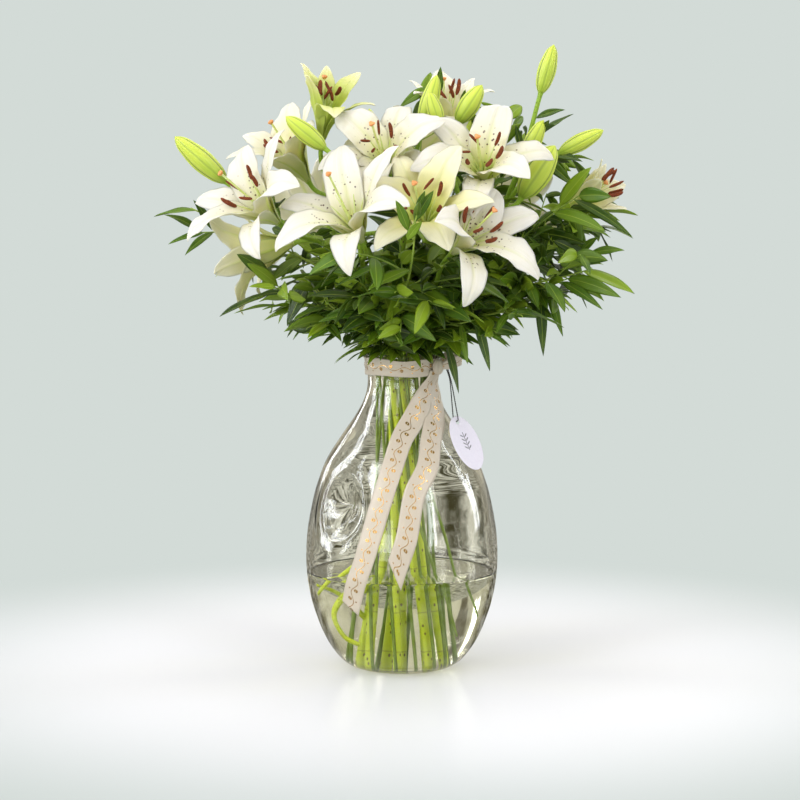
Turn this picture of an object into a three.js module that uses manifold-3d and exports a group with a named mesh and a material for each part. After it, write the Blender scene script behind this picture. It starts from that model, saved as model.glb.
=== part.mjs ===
// White lilies and ruscus greenery standing in a dented, pear-shaped glass vase with water in it.
// A ribbon is tied round the vase's neck in a bow, and an oval card tag hangs from it on a string.
// Millimetres, +Z up. The origin is the middle of the vase's flat foot, and -Y is the bouquet's front.
import * as THREE from "three";
import { mergeVertices } from "three/addons/utils/BufferGeometryUtils.js";
import Module from "manifold-3d";

const wasm = await Module();
wasm.setup();

// Clearance between pieces that rest on or pass through each other
const GAP = 0.3;

// Vase: outside radius at each height, wall, floor and the thumb-shaped dent in its front left side
const OUTLINE = [
  [0, 46], [4, 57], [13, 68], [30, 79.6], [50, 88.7], [77, 97], [108, 101.3], [144, 100.3],
  [180, 94], [202, 87.6], [224, 78.6], [250, 62], [268, 49.6], [286, 40], [304, 36], [333, 37.5],
];
const VASE_SIDES = 28;
const WALL = 4;
const FLOOR = 9;
const FLOOR_RADIUS = 46;
const RIM_HEIGHT = 333;
const DENT = { azimuth: 225, height: 180, halfAngle: 23, halfHeight: 42, depth: 25 };
const WATER_LEVEL = 103;

// Stems in the vase: two rings of straight stems that lean round each other through the neck
const NECK_HEIGHT = 330;
const LILY_STEM = { radius: 4.2, sides: 6, ring: 14, footRing: 34, twist: 110 };
const SPRAY_STEM = { radius: 1.7, sides: 3, ring: 26, footRing: 44, twist: 60 };

// Lily blooms: throat is where the six tepals part, facing is the way the flower looks,
// length is one tepal's, curl is how far the tepals' tips have turned back, in degrees from the axis, and
// spread is how much more each of the six has. Where it is given, reach is how much longer the stamens are
const BLOOMS = [
  {
    name: "left", stem: 0, throat: [-137, -75, 484], facing: [-0.68, -0.4, 0.62],
    roll: 45, length: 98, curl: 95, spread: [-10, -20, -20, 20, 10, -20],
  },
  {
    name: "front_left", stem: 1, throat: [-46, -125, 470], facing: [-0.34, -0.54, 0.77], anthers: false,
    roll: 25, length: 104, curl: 90, spread: [-10, 15, 5, 25, -10, -30],
  },
  {
    name: "middle", stem: 7, throat: [23, -118, 477], facing: [-0.08, -0.72, 0.69],
    roll: 85, length: 92, curl: 92, spread: [0, -10, 0, -15, -30, 0],
  },
  {
    name: "upper_right", stem: 4, throat: [82, -85, 525], facing: [-0.04, -0.74, 0.67],
    roll: 105, length: 92, curl: 96, spread: [0, 0, -35, 25, 10, 15],
  },
  {
    name: "front_right", stem: 2, throat: [59, -135, 456], facing: [0.51, -0.64, 0.57],
    roll: 95, length: 100, curl: 90, spread: [-20, 25, 0, -10, -30, 10],
  },
  {
    name: "upper_middle", stem: 7, throat: [-16, -65, 536], facing: [-0.15, -0.72, 0.68],
    roll: 50, length: 86, curl: 85, spread: [20, 0, 0, 0, 0, 30],
  },
  {
    name: "top_left", stem: 6, throat: [-81, -15, 574], facing: [0.14, -0.24, 0.96],
    roll: 40, length: 78, curl: 30, spread: [0, 0, 78, 45, 18, 0], reach: 1.15,
  },
  {
    name: "far_left", stem: 6, throat: [-107, 20, 528], facing: [-0.5, -0.29, 0.82],
    roll: 40, length: 88, curl: 75, spread: [-10, -20, -20, 0, 0, -30],
  },
  {
    name: "low_left", stem: 0, throat: [-127, -20, 449], facing: [-0.93, 0.2, -0.2],
    roll: 75, length: 92, curl: 72, spread: [0, 0, -20, -30, -10, 0],
  },
  {
    name: "top_middle", stem: 4, throat: [48, 20, 574], facing: [0, -0.14, 0.99],
    roll: 15, length: 74, curl: 42, spread: [0, 0, 35, 70, 35, 0], reach: 1.25,
  },
  {
    name: "far_right", stem: 3, throat: [179, 15, 488], facing: [0.82, -0.3, 0.49],
    roll: 20, length: 72, curl: 30, spread: [0, 0, 0, 0, 0, 0], reach: 1.7,
  },
  {
    name: "back_left", stem: 5, throat: [-88, 112, 470], facing: [-0.5, 0.7, 0.51],
    roll: 25, length: 96, curl: 95, spread: [0, 10, -10, 15, 0, -15],
  },
  {
    name: "back_middle", stem: 5, throat: [10, 118, 520], facing: [0.05, 0.66, 0.75],
    roll: 50, length: 96, curl: 92, spread: [10, 0, -15, 0, 15, -10],
  },
  {
    name: "back_right", stem: 3, throat: [98, 108, 470], facing: [0.52, 0.72, 0.46],
    roll: 0, length: 98, curl: 95, spread: [0, -10, 20, 0, -15, 10],
  },
];
const TEPAL = { inner: 19, outer: 14.5, thickness: 1.4, flare: 11, outerFlare: 20, root: 3.2 };
const STATIONS = [0, 0.32, 0.6, 0.84, 1];
// How much more a tepal bends and is turned, in degrees, and its length, until it is clear of the rest
const TEPAL_TRIES = [
  [0, 0, 1], [-10, 0, 1], [10, 0, 1], [0, 9, 1], [0, -9, 1], [-20, 0, 1], [20, 0, 1],
  [-10, 10, 1], [-10, -10, 1], [12, 10, 1], [12, -10, 1], [-30, 0, 0.96], [30, 0, 0.96],
  [0, 16, 0.9], [0, -16, 0.9], [-20, 14, 0.9], [-20, -14, 0.9], [20, 14, 0.9], [20, -14, 0.9],
  [-42, 0, 0.9], [42, 0, 0.9], [-25, 0, 0.78], [25, 0, 0.78], [0, 20, 0.75], [0, -20, 0.75],
  [-35, 15, 0.75], [-35, -15, 0.75], [35, 15, 0.75], [35, -15, 0.75], [-50, 0, 0.7], [50, 0, 0.7],
  [0, 0, 0.58], [-30, 0, 0.58], [30, 0, 0.58], [0, 20, 0.55], [0, -20, 0.55], [-45, 20, 0.55], [-45, -20, 0.55],
];
const RECEPTACLE = { radius: 4.6, height: 9, throat: 16 };
const STAMEN = { length: 40, spread: 20, thick: 1.6, anther: 16, antherThick: 4 };
const PISTIL = { length: 72, thick: 2.4, stigma: 7 };
const BOSS = { radius: 1.9, height: 2.6 };

// Unopened buds: where each one's tip and base are, and its thickness
const BUDS = [
  { stem: 0, tip: [-235, -20, 561], base: [-184, -20, 516], radius: 11.5 },
  { stem: 1, tip: [-117, -85, 582], base: [-79, -85, 551], radius: 9.5 },
  { stem: 3, tip: [158, 0, 656], base: [145, 0, 608], radius: 9.5 },
  { stem: 3, tip: [209, -10, 568], base: [165, -10, 545], radius: 9 },
  { stem: 4, tip: [82, -40, 614], base: [58, -40, 577], radius: 10.5 },
  { stem: 7, tip: [36, -35, 624], base: [21, -35, 571], radius: 9.5 },
  { stem: 7, tip: [28, -58, 607], base: [39, -58, 573], radius: 8 },
  { stem: 3, tip: [147, -10, 578], base: [128, -10, 540], radius: 9 },
  { stem: 4, tip: [157, -45, 552], base: [124, -45, 501], radius: 15 },
  { stem: 5, tip: [-35, 90, 590], base: [-28, 78, 540], radius: 9 },
  { stem: 5, tip: [72, 75, 585], base: [58, 70, 540], radius: 9.5 },
];

// Lily stems: which way each leans, and the fork where its flower stalks part
const STEMS = [
  { name: "left", azimuth: 205, out: 1, fork: [-84, -22, 452] },
  { name: "front_left", azimuth: 256, out: 1, fork: [-40, -62, 430] },
  { name: "front_right", azimuth: 308, out: 1, fork: [34, -68, 410] },
  { name: "right", azimuth: 359, out: 1, fork: [96, 18, 470] },
  { name: "upper_right", azimuth: 51, out: 1, fork: [58, -14, 480] },
  { name: "back", azimuth: 102, out: 1, fork: [0, 62, 450] },
  { name: "back_left", azimuth: 154, out: 1, fork: [-62, 22, 490] },
  { name: "middle", azimuth: 0, out: 0.05, fork: [4, -36, 470] },
];
const STALK = { radius: 2.3, socket: 3.6, neck: 6 };

// Ruscus sprays: the way each one goes out from the neck, how far, and how high its tip ends
const SPRAYS = [
  { name: "left", azimuth: 172, reach: 226, height: 486 },
  { name: "low_left", azimuth: 203, reach: 152, height: 402 },
  { name: "front_left", azimuth: 228, reach: 116, height: 390 },
  { name: "front", azimuth: 254, reach: 108, height: 400 },
  { name: "front_high", azimuth: 274, reach: 188, height: 484, steep: 2.6 },
  { name: "front_right", azimuth: 300, reach: 112, height: 388 },
  { name: "low_right", azimuth: 325, reach: 146, height: 388 },
  { name: "lower_right", azimuth: 346, reach: 198, height: 425 },
  { name: "right", azimuth: 8, reach: 212, height: 486 },
  { name: "top_right", azimuth: 28, reach: 172, height: 566 },
  { name: "back_right", azimuth: 52, reach: 176, height: 430 },
  { name: "top_middle", azimuth: 70, reach: 75, height: 596 },
  { name: "back", azimuth: 102, reach: 160, height: 405 },
  { name: "back_left", azimuth: 130, reach: 182, height: 445 },
];
const SPRAY = { leaves: 4, twigs: 3, twigLeaves: 3, twigLength: 66, twigRadius: 1, splay: 50, droop: 0.55 };
const LEAF = { length: 54, half: 9.5, fold: 1.8, thickness: 1.2, sag: 0.12 };
// Turns about the twig, in degrees, tried in turn until a leaf or a twig is clear of its neighbours
const LEAF_TRIES = [0, 30, -30, 60, -60, 95, -95, 140, 180];

// Ribbon: a band round the neck, a knot with two loops, and two tails that lie down the glass.
// Each tail is a line of bearings and heights, ends slanted, and it is gathered where it leaves the knot.
const RIBBON = { half: 11, gathered: 5, thickness: 0.8, stand: 1.7, low: 313, high: 331, rows: 15 };
const KNOT = { azimuth: 329, height: 322, out: 7, radius: 5, tall: 14 };
const LOOPS = [{ turn: 46, length: 25, rise: 8 }, { turn: 86, length: 26, rise: 11 }];
const LOOP = { half: 6, swell: 5 };
const TAILS = [
  {
    slant: 8,
    line: [
      [325, 318], [321, 306], [303, 290], [284, 271], [270, 252],
      [262.5, 222], [257, 190], [248.6, 135], [242, 102], [238, 81],
    ],
  },
  {
    slant: 26,
    line: [
      [333, 318], [341, 306], [334, 290], [315, 271], [299.5, 252],
      [288.5, 222], [278, 196], [273, 155], [268, 127],
    ],
  },
];

// Tag: an oval card that leans on the vase's shoulder, on a doubled string from the knot
const TAG = { centre: [67.2, -38, 243.6], long: 30.5, wide: 18.5, thickness: 0.8 };
const TAG_AIM = { azimuth: 310, lean: 27, roll: 7.5 };
const EYE = { radius: 2.4, up: 24 };
const STRING_RADIUS = 0.65;

const v3 = (x, y, z) => new THREE.Vector3(x, y, z);
const vec = (list) => v3(...list);
const radians = THREE.MathUtils.degToRad;
const polar = (azimuth, radius, z) => {
  const turn = radians(azimuth);
  return v3(radius * Math.cos(turn), radius * Math.sin(turn), z);
};
// A repeatable number from 0 to 1 for each seed
const chance = (seed) => {
  const x = Math.sin(seed * 12.9898) * 43758.5453;
  return x - Math.floor(x);
};

// A closed mesh as a solid that can be cut and joined
function solid(geometry) {
  const bare = geometry.clone();
  bare.deleteAttribute("normal");
  bare.deleteAttribute("uv");
  const merged = mergeVertices(bare, 1e-4);
  return new wasm.Manifold(
    new wasm.Mesh({
      numProp: 3,
      vertProperties: new Float32Array(merged.attributes.position.array),
      triVerts: new Uint32Array(merged.index.array),
    }),
  );
}

const join = (solids) => solids.reduce((all, one) => all.add(one));

function geometryOf(made) {
  const mesh = made.getMesh();
  const geometry = new THREE.BufferGeometry();
  geometry.setAttribute("position", new THREE.BufferAttribute(mesh.vertProperties, 3));
  geometry.setIndex(new THREE.BufferAttribute(mesh.triVerts, 1));
  return geometry;
}

// The solid with its faces pointing out, whichever way round its triangles were given
function outward(geometry) {
  const made = solid(geometry);
  if (made.volume() > 0) return made;
  const index = Array.from(geometry.index.array);
  for (let i = 0; i < index.length; i += 3) [index[i + 1], index[i + 2]] = [index[i + 2], index[i + 1]];
  return solid(geometry.clone().setIndex(index));
}

function fromTriangles(points, triangles) {
  const geometry = new THREE.BufferGeometry().setFromPoints(points);
  geometry.setIndex(triangles.flat());
  return outward(geometry);
}

// A round bar along a line of points, with its radius at each point; a radius of 0 is a sharp end
function rod(points, radii, sides) {
  const last = points.length - 1;
  const ways = points.map((_, i) => {
    const [before, after] = [points[Math.max(i - 1, 0)], points[Math.min(i + 1, last)]];
    return after.clone().sub(before).normalize();
  });
  const reference = Math.abs(ways[0].z) > 0.9 ? v3(1, 0, 0) : v3(0, 0, 1);
  let across = reference.clone().cross(ways[0]);
  const vertices = [];
  const rings = points.map((p, i) => {
    across = across.clone().addScaledVector(ways[i], -across.dot(ways[i])).normalize();
    const other = ways[i].clone().cross(across);
    const start = vertices.length;
    if (radii[i] === 0) {
      vertices.push(p.clone());
      return new Array(sides).fill(start);
    }
    for (let k = 0; k < sides; k++) {
      const turn = (2 * Math.PI * k) / sides;
      const spoke = across.clone().multiplyScalar(Math.cos(turn)).addScaledVector(other, Math.sin(turn));
      vertices.push(p.clone().addScaledVector(spoke, radii[i]));
    }
    return vertices.slice(start).map((_, k) => start + k);
  });
  const triangles = [];
  for (let i = 0; i < last; i++)
    for (let k = 0; k < sides; k++) {
      const n = (k + 1) % sides;
      const [a, b, c, d] = [rings[i][k], rings[i][n], rings[i + 1][n], rings[i + 1][k]];
      if (a !== b) triangles.push([a, b, c]);
      if (c !== d) triangles.push([a, c, d]);
    }
  for (let k = 1; k < sides - 1; k++) {
    if (radii[0] > 0) triangles.push([rings[0][0], rings[0][k + 1], rings[0][k]]);
    if (radii[last] > 0) triangles.push([rings[last][0], rings[last][k], rings[last][k + 1]]);
  }
  return fromTriangles(vertices, triangles);
}

// The triangles between neighbouring rows of vertex numbers; a row of one is a point
function between(rows) {
  const triangles = [];
  for (let i = 0; i < rows.length - 1; i++) {
    const [a, b] = [rows[i], rows[i + 1]];
    const middle = (Math.max(a.length, b.length) - 1) / 2;
    for (let k = 0; k < 2 * middle; k++) {
      if (a.length === 1) triangles.push([a[0], b[k + 1], b[k]]);
      else if (b.length === 1) triangles.push([a[k], a[k + 1], b[0]]);
      else if (k < middle) triangles.push([a[k], a[k + 1], b[k + 1]], [a[k], b[k + 1], b[k]]);
      else triangles.push([a[k], a[k + 1], b[k]], [a[k + 1], b[k + 1], b[k]]);
    }
  }
  return triangles;
}

// A strip with square edges: its rows of front points and the same rows moved back
function strip(front, back) {
  const wide = front[0].length;
  const count = front.length * wide;
  const rows = front.map((row, i) => row.map((_, k) => i * wide + k));
  const triangles = between(rows).flatMap(([a, b, c]) => [[a, b, c], [a + count, c + count, b + count]]);
  const last = rows[rows.length - 1];
  const inner = rows.slice(1, -1);
  const rim = [...rows[0], ...inner.map((row) => row[wide - 1]), ...last.slice().reverse()];
  rim.push(...inner.map((row) => row[0]).reverse());
  rim.forEach((a, i) => {
    const b = rim[(i + 1) % rim.length];
    triangles.push([b, a, a + count], [b, a + count, b + count]);
  });
  return fromTriangles([...front.flat(), ...back.flat()], triangles);
}

// A blade along a rib, full at its rib and thin at its edges: its points, the way across and the way up at
// each, its half width and how far its edges rise above the rib. It is pointed where the half width is 0.
function blade({ rib, across, up, half, rise, thickness }) {
  const points = [];
  const front = [];
  const back = [];
  rib.forEach((p, i) => {
    const n = points.length;
    if (half[i] === 0) {
      points.push(p);
      front.push([n]);
      back.push([n]);
      return;
    }
    const edge = (side) => p.clone().addScaledVector(across[i], side * half[i]).addScaledVector(up[i], rise[i]);
    const over = (share) => p.clone().addScaledVector(up[i], share * thickness);
    points.push(edge(-1), over(0.5), edge(1), over(-0.5));
    front.push([n, n + 1, n + 2]);
    back.push([n, n + 3, n + 2]);
  });
  const triangles = [...between(front), ...between(back).map(([a, b, c]) => [a, c, b])];
  return fromTriangles(points, triangles);
}

// The way out and the way round at a bearing about a facing direction
function bearings(facing, roll) {
  const w = facing.clone().normalize();
  const u = v3(0, 0, 1).addScaledVector(w, -w.z).normalize();
  const v = w.clone().cross(u);
  return (turn) => {
    const t = radians(turn + roll);
    const out = u.clone().multiplyScalar(Math.cos(t)).addScaledVector(v, Math.sin(t));
    return { out, round: out.clone().cross(w) };
  };
}

// The inside of the glass, from its flat floor up, at every other ring of the outside
const INSIDE = [
  [FLOOR, FLOOR_RADIUS],
  [17, 62],
  ...OUTLINE.filter(([z], i) => z >= 24 && z < RIM_HEIGHT && i % 2 === 0).map(([z, r]) => [z, r - WALL]),
  [RIM_HEIGHT, OUTLINE[OUTLINE.length - 1][1] - WALL],
];

function radiusAt(profile, z) {
  const i = Math.max(1, profile.findIndex(([height]) => height >= z));
  const [[z0, r0], [z1, r1]] = [profile[i - 1], profile[i]];
  return r0 + ((r1 - r0) * (z - z0)) / (z1 - z0);
}
const outside = (z) => radiusAt(OUTLINE, Math.min(z, RIM_HEIGHT));

// How far the dent presses the glass in at a bearing and height: a cone with a soft rim
function dent(azimuth, z) {
  const turn = ((azimuth - DENT.azimuth + 540) % 360) - 180;
  const away = Math.hypot(turn / DENT.halfAngle, (z - DENT.height) / DENT.halfHeight);
  return away < 1 ? DENT.depth * (1 - away) ** 1.6 : 0;
}

function turned(profile, sides = VASE_SIDES) {
  const lathe = new THREE.LatheGeometry(profile.map(([z, r]) => new THREE.Vector2(r, z)), sides);
  lathe.rotateX(Math.PI / 2);
  const place = lathe.attributes.position;
  for (let i = 0; i < place.count; i++) {
    const p = v3().fromBufferAttribute(place, i);
    const radius = Math.hypot(p.x, p.y);
    if (radius < 1e-6) continue;
    const scale = 1 - dent(THREE.MathUtils.radToDeg(Math.atan2(p.y, p.x)), p.z) / radius;
    place.setXY(i, p.x * scale, p.y * scale);
  }
  return outward(lathe);
}

function vase() {
  const lip = [RIM_HEIGHT + 1, outside(RIM_HEIGHT) - WALL / 2];
  return turned([[0, 0], ...OUTLINE, lip, ...INSIDE.slice().reverse(), [FLOOR, 0]]);
}

// A stem's straight run in the vase, from its foot on the floor to the neck
function standing(azimuth, ring, footRing, twist) {
  const foot = polar(azimuth + twist, footRing, FLOOR + 2 * GAP);
  const neck = polar(azimuth, ring, NECK_HEIGHT);
  return { foot, neck, way: neck.clone().sub(foot).normalize() };
}

function water(stems) {
  const under = INSIDE.filter(([z]) => z < WATER_LEVEL).map(([z, r]) => [z === FLOOR ? z + GAP : z, r - GAP]);
  const level = [[WATER_LEVEL, radiusAt(INSIDE, WATER_LEVEL) - GAP], [WATER_LEVEL, 0]];
  const profile = [[FLOOR + GAP, 0], ...under, ...level];
  const above = (WATER_LEVEL + 10) / NECK_HEIGHT;
  const holes = stems.map(({ foot, neck, radius, sides }) =>
    rod(
      [foot.clone().lerp(neck, -0.03), foot.clone().lerp(neck, above)],
      [radius + 1.5 * GAP, radius + 1.5 * GAP],
      sides,
    ),
  );
  return holes.reduce((left, hole) => left.subtract(hole), turned(profile));
}

// One of six tepals round a receptacle. Its rib turns evenly from the flare at its root to the curl at its
// tip; the inner three are broader and stand in front of the outer three. A flower that is still closed
// has narrower tepals, so that they pass each other.
function tepal(flower, k, [extra, turn, share], thickness = TEPAL.thickness) {
  const { base, facing, roll, length, curl, seed, spread } = flower;
  const inner = k % 2 === 0;
  const { out, round } = bearings(facing, roll)(60 * k + turn);
  const reach = length * share * (inner ? 1 : 0.97);
  const flare = radians(inner ? TEPAL.flare : TEPAL.outerFlare) * Math.min(1, curl / 80);
  const bend = radians(curl * (0.92 + 0.16 * chance(seed * 7 + k)) + spread[k] + extra) - flare;
  const rib = [];
  const up = [];
  const half = [];
  const shape = [0, 0.64, 1, 0.74, 0];
  STATIONS.forEach((s, i) => {
    const angle = flare + bend * s;
    const r = TEPAL.root + (reach * (Math.cos(flare) - Math.cos(angle))) / bend;
    const a = (inner ? 5 : 2.5) + (reach * (Math.sin(angle) - Math.sin(flare))) / bend;
    rib.push(base.clone().addScaledVector(out, r).addScaledVector(facing, a));
    up.push(facing.clone().multiplyScalar(Math.sin(angle)).addScaledVector(out, -Math.cos(angle)));
    half.push(shape[i] * Math.min(inner ? TEPAL.inner : TEPAL.outer, 0.6 * r + 5));
  });
  const rise = half.map((h, i) => h * [0, 0.4, 0.18, -0.05, 0][i]);
  return blade({ rib, across: rib.map(() => round), up, half, rise, thickness });
}

function receptacle({ base, facing }) {
  return rod([base, base.clone().addScaledVector(facing, RECEPTACLE.height)], [3.8, RECEPTACLE.radius], 6);
}

// Six filaments with their anthers and the pistil, all grown from one six-sided boss: each side face of the
// boss is drawn out into a filament and its top face into the pistil
function stamens({ base, facing, roll, length, curl, seed, anthers = true, reach: longer = 1 }) {
  const at = bearings(facing, roll + 30);
  const scale = length / 98;
  const opened = Math.min(1, curl / 85);
  const floor = RECEPTACLE.height + GAP;
  const axial = (out, r, a) => base.clone().addScaledVector(out, r).addScaledVector(facing, floor + a);
  const points = [];
  const triangles = [];
  const ring = (corners) => corners.map((p) => points.push(p) - 1);
  const tube = (a, b) => a.forEach((_, k) => {
    const n = (k + 1) % a.length;
    triangles.push([a[k], a[n], b[n]], [a[k], b[n], b[k]]);
  });
  const point = (a, tip) => {
    const end = points.push(tip) - 1;
    a.forEach((_, k) => triangles.push([a[k], a[(k + 1) % a.length], end]));
  };
  const sixth = [0, 1, 2, 3, 4, 5];
  const hexagon = (centre, r) => ring(sixth.map((k) => centre.clone().addScaledVector(at(60 * k - 30).out, r)));
  const bottom = hexagon(axial(facing, 0, 0), BOSS.radius);
  const top = hexagon(axial(facing, 0, BOSS.height), BOSS.radius * 0.85);
  for (let k = 1; k < 5; k++) triangles.push([bottom[0], bottom[k + 1], bottom[k]]);
  for (let k = 0; k < 6; k++) {
    const { out, round } = at(60 * k);
    const reach = STAMEN.length * longer * scale * (0.92 + 0.16 * chance(seed * 11 + k));
    const spread = radians(STAMEN.spread * opened * (0.8 + 0.5 * chance(seed * 13 + k)));
    const way = facing.clone().multiplyScalar(Math.cos(spread)).addScaledVector(out, Math.sin(spread));
    const side = out.clone().multiplyScalar(Math.cos(spread)).addScaledVector(facing, -Math.sin(spread));
    const square = (centre, r) => ring([[-1, -1], [1, -1], [1, 1], [-1, 1]].map(([i, j]) =>
      centre.clone().addScaledVector(round, -i * r).addScaledVector(side, -j * r)));
    const n = (k + 1) % 6;
    const end = axial(out, BOSS.radius, BOSS.height).addScaledVector(way, reach);
    const neck = square(end, STAMEN.thick / 2);
    tube([bottom[k], bottom[n], top[n], top[k]], neck);
    if (!anthers) {
      point(neck, end.clone().addScaledVector(way, 1));
      continue;
    }
    const lean = way.clone().addScaledVector(round, 2 * (chance(seed * 17 + k) - 0.5)).normalize();
    const full = square(end.clone().addScaledVector(lean, 0.35 * STAMEN.anther), STAMEN.antherThick / 2);
    tube(neck, full);
    point(full, end.clone().addScaledVector(lean, STAMEN.anther));
  }
  const reach = PISTIL.length * scale;
  const { out: side } = at(0);
  const shaft = hexagon(axial(side, 1, BOSS.height + 4), PISTIL.thick / 2);
  const under = hexagon(axial(side, 6, reach - 2), PISTIL.thick / 2);
  const stigma = hexagon(axial(side, 6.4, reach), PISTIL.stigma / 2);
  tube(top, shaft);
  tube(shaft, under);
  tube(under, stigma);
  point(stigma, axial(side, 6.6, reach + 2));
  return fromTriangles(points, triangles);
}

// A closed bud: a six-sided spindle, blunt at its stalk and pointed at its tip
function bud({ tip, base, radius }) {
  const shape = [[0, 0.4], [0.2, 0.82], [0.5, 1], [0.82, 0.7], [1, 0]];
  return rod(shape.map(([s]) => base.clone().lerp(tip, s)), shape.map(([, r]) => r * radius), 6);
}

// A leaf that leaves its root along a way, arches down from there and is folded a little along its rib
function leaf({ root, way, up, length, half, thickness = LEAF.thickness }) {
  const rib = [0, 0.42, 1].map((s) => {
    const p = root.clone().addScaledVector(way, length * s);
    return p.addScaledVector(v3(0, 0, -1), LEAF.sag * length * s * s);
  });
  const across = way.clone().cross(up).normalize();
  const ways = { across: rib.map(() => across), up: rib.map(() => up) };
  return blade({ rib, ...ways, half: [0, half, 0], rise: [0, LEAF.fold, 0], thickness });
}

const curve = (a, b, c, d, count) => new THREE.CubicBezierCurve3(a, b, c, d).getPoints(count);

// The way a line of points is going at a share of its length, and the point there
function along(points, share) {
  const spot = share * (points.length - 1);
  const i = Math.min(Math.floor(spot), points.length - 2);
  const way = points[i + 1].clone().sub(points[i]);
  return { point: points[i].clone().addScaledVector(way, spot - i), way: way.normalize() };
}

// Whether a solid is clear of everything placed so far that isn't its own stem
const placed = [];
function clear(candidate, own = "") {
  const box = candidate.boundingBox();
  return placed.every(({ owner, made, low, high }) => {
    const apart = [0, 1, 2].some((i) => box.max[i] < low[i] || box.min[i] > high[i]);
    return apart || (own !== "" && owner === own) || candidate.intersect(made).volume() < 1e-4;
  });
}

function place(made, owner) {
  const box = made.boundingBox();
  placed.push({ owner, made, low: box.min, high: box.max });
  return made;
}

const bouquet = new THREE.Group();
const colours = {
  glass: { color: 0xdfe0d6, roughness: 0.03, metalness: 0, transparent: true, opacity: 0.35 },
  water: { color: 0xe4ead9, roughness: 0.02, metalness: 0, transparent: true, opacity: 0.4 },
  petal: { color: 0xf8f6ec, roughness: 0.55, metalness: 0 },
  stamen: { color: 0x8a3a1c, roughness: 0.8, metalness: 0 },
  stem: { color: 0x86a832, roughness: 0.5, metalness: 0 },
  foliage: { color: 0x35601f, roughness: 0.4, metalness: 0 },
  ribbon: { color: 0xe5ddd0, roughness: 0.4, metalness: 0 },
  card: { color: 0xeae3f0, roughness: 0.7, metalness: 0 },
  string: { color: 0x2e2e2c, roughness: 0.8, metalness: 0 },
};
function add(name, made, colour) {
  const geometry = geometryOf(made);
  geometry.computeVertexNormals();
  const mesh = new THREE.Mesh(geometry, new THREE.MeshStandardMaterial(colours[colour]));
  mesh.name = name;
  bouquet.add(mesh);
}

// Vase
add("vase", place(vase(), "vase"), "glass");

// Lily stems, each with the stalks of its flowers and its own buds
const flowers = BLOOMS.map((spec, i) => {
  const facing = vec(spec.facing).normalize();
  const base = vec(spec.throat).addScaledVector(facing, -RECEPTACLE.throat);
  return { ...spec, facing, base, seed: i + 1 };
});
const stood = STEMS.map((stem) => ({
  ...stem,
  ...standing(stem.azimuth, LILY_STEM.ring * stem.out, LILY_STEM.footRing * stem.out, LILY_STEM.twist),
  radius: LILY_STEM.radius,
  sides: LILY_STEM.sides,
}));
stood.forEach((stem, i) => {
  const fork = vec(stem.fork);
  const rise = fork.distanceTo(stem.neck);
  const opened = flowers.filter((f) => f.stem === i);
  const closed = BUDS.filter((b) => b.stem === i).map((b) => ({ ...b, tip: vec(b.tip), base: vec(b.base) }));
  const ends = [
    ...opened.map(({ base, facing }) => ({
      end: base.clone().addScaledVector(facing, -GAP),
      way: facing,
      size: STALK.socket,
    })),
    ...closed.map((b) => ({ end: b.base, way: b.tip.clone().sub(b.base).normalize(), size: 0.35 * b.radius })),
  ];
  const mean = ends.reduce((sum, { end }) => sum.add(end), v3()).divideScalar(ends.length);
  const lead = mean.sub(fork).normalize();
  const toNeck = stem.neck.clone().addScaledVector(stem.way, rise * 0.4);
  const toFork = fork.clone().addScaledVector(lead, -rise * 0.35);
  const path = [stem.foot, ...curve(stem.neck, toNeck, toFork, fork, 4)];
  const pieces = [rod(path, path.map((_, k) => LILY_STEM.radius - 0.2 * k), LILY_STEM.sides)];
  for (const { end, way, size } of ends) {
    const far = end.distanceTo(fork);
    const start = fork.clone().addScaledVector(lead, -4);
    const under = end.clone().addScaledVector(way, -STALK.neck);
    const turn = under.clone().addScaledVector(way, -far * 0.35);
    const line = curve(start, fork.clone().addScaledVector(lead, far * 0.3), turn, under, 3);
    const { radius } = STALK;
    pieces.push(rod([...line, end], [radius, radius, radius, radius, size], 4));
  }
  for (const shut of closed) {
    const way = shut.tip.clone().sub(shut.base).normalize();
    pieces.push(bud({ ...shut, base: shut.base.clone().addScaledVector(way, -1) }));
  }
  add(`lily_stem_${stem.name}`, place(join(pieces), `stem_${stem.name}`), "stem");
});

// Stamens, and the bare stems of the sprays, which the tepals then pass clear of
for (const flower of flowers) add(`stamens_${flower.name}`, place(stamens(flower), "stamens"), "stamen");
const sprays = SPRAYS.map(({ name, azimuth, reach, height, steep }) => {
  const { foot, neck, way } = standing(azimuth, SPRAY_STEM.ring, SPRAY_STEM.footRing, SPRAY_STEM.twist);
  const tip = polar(azimuth, reach, height);
  const far = tip.distanceTo(neck);
  const { radius, sides } = SPRAY_STEM;
  const rise = Math.max(0.2, (height - NECK_HEIGHT) / far);
  const lead = polar(azimuth, 1, steep ?? (0.6 * rise) / Math.sqrt(1.04 - rise ** 2)).normalize();
  const toNeck = neck.clone().addScaledVector(way, far * 0.35);
  const toTip = tip.clone().addScaledVector(lead, -far * 0.4);
  const line = curve(neck, toNeck, toTip, tip, 5);
  const path = [foot, ...line];
  const stem = place(rod(path, path.map((_, k) => radius * (1 - 0.07 * k)), sides), `spray_${name}`);
  return { name, azimuth, reach, foot, neck, line, stem, radius, sides };
});

// Water, with a plain hole for each stem
add("water", place(water([...stood, ...sprays]), "water"), "water");

// Blooms
for (const flower of flowers) {
  const pieces = [place(receptacle(flower), flower.name)];
  for (let k = 0; k < 6; k++) {
    const attempt = TEPAL_TRIES.find((t) => clear(tepal(flower, k, t, TEPAL.thickness + 0.4), flower.name));
    if (attempt) pieces.push(place(tepal(flower, k, attempt), flower.name));
  }
  add(`bloom_${flower.name}`, join(pieces), "petal");
}

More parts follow.
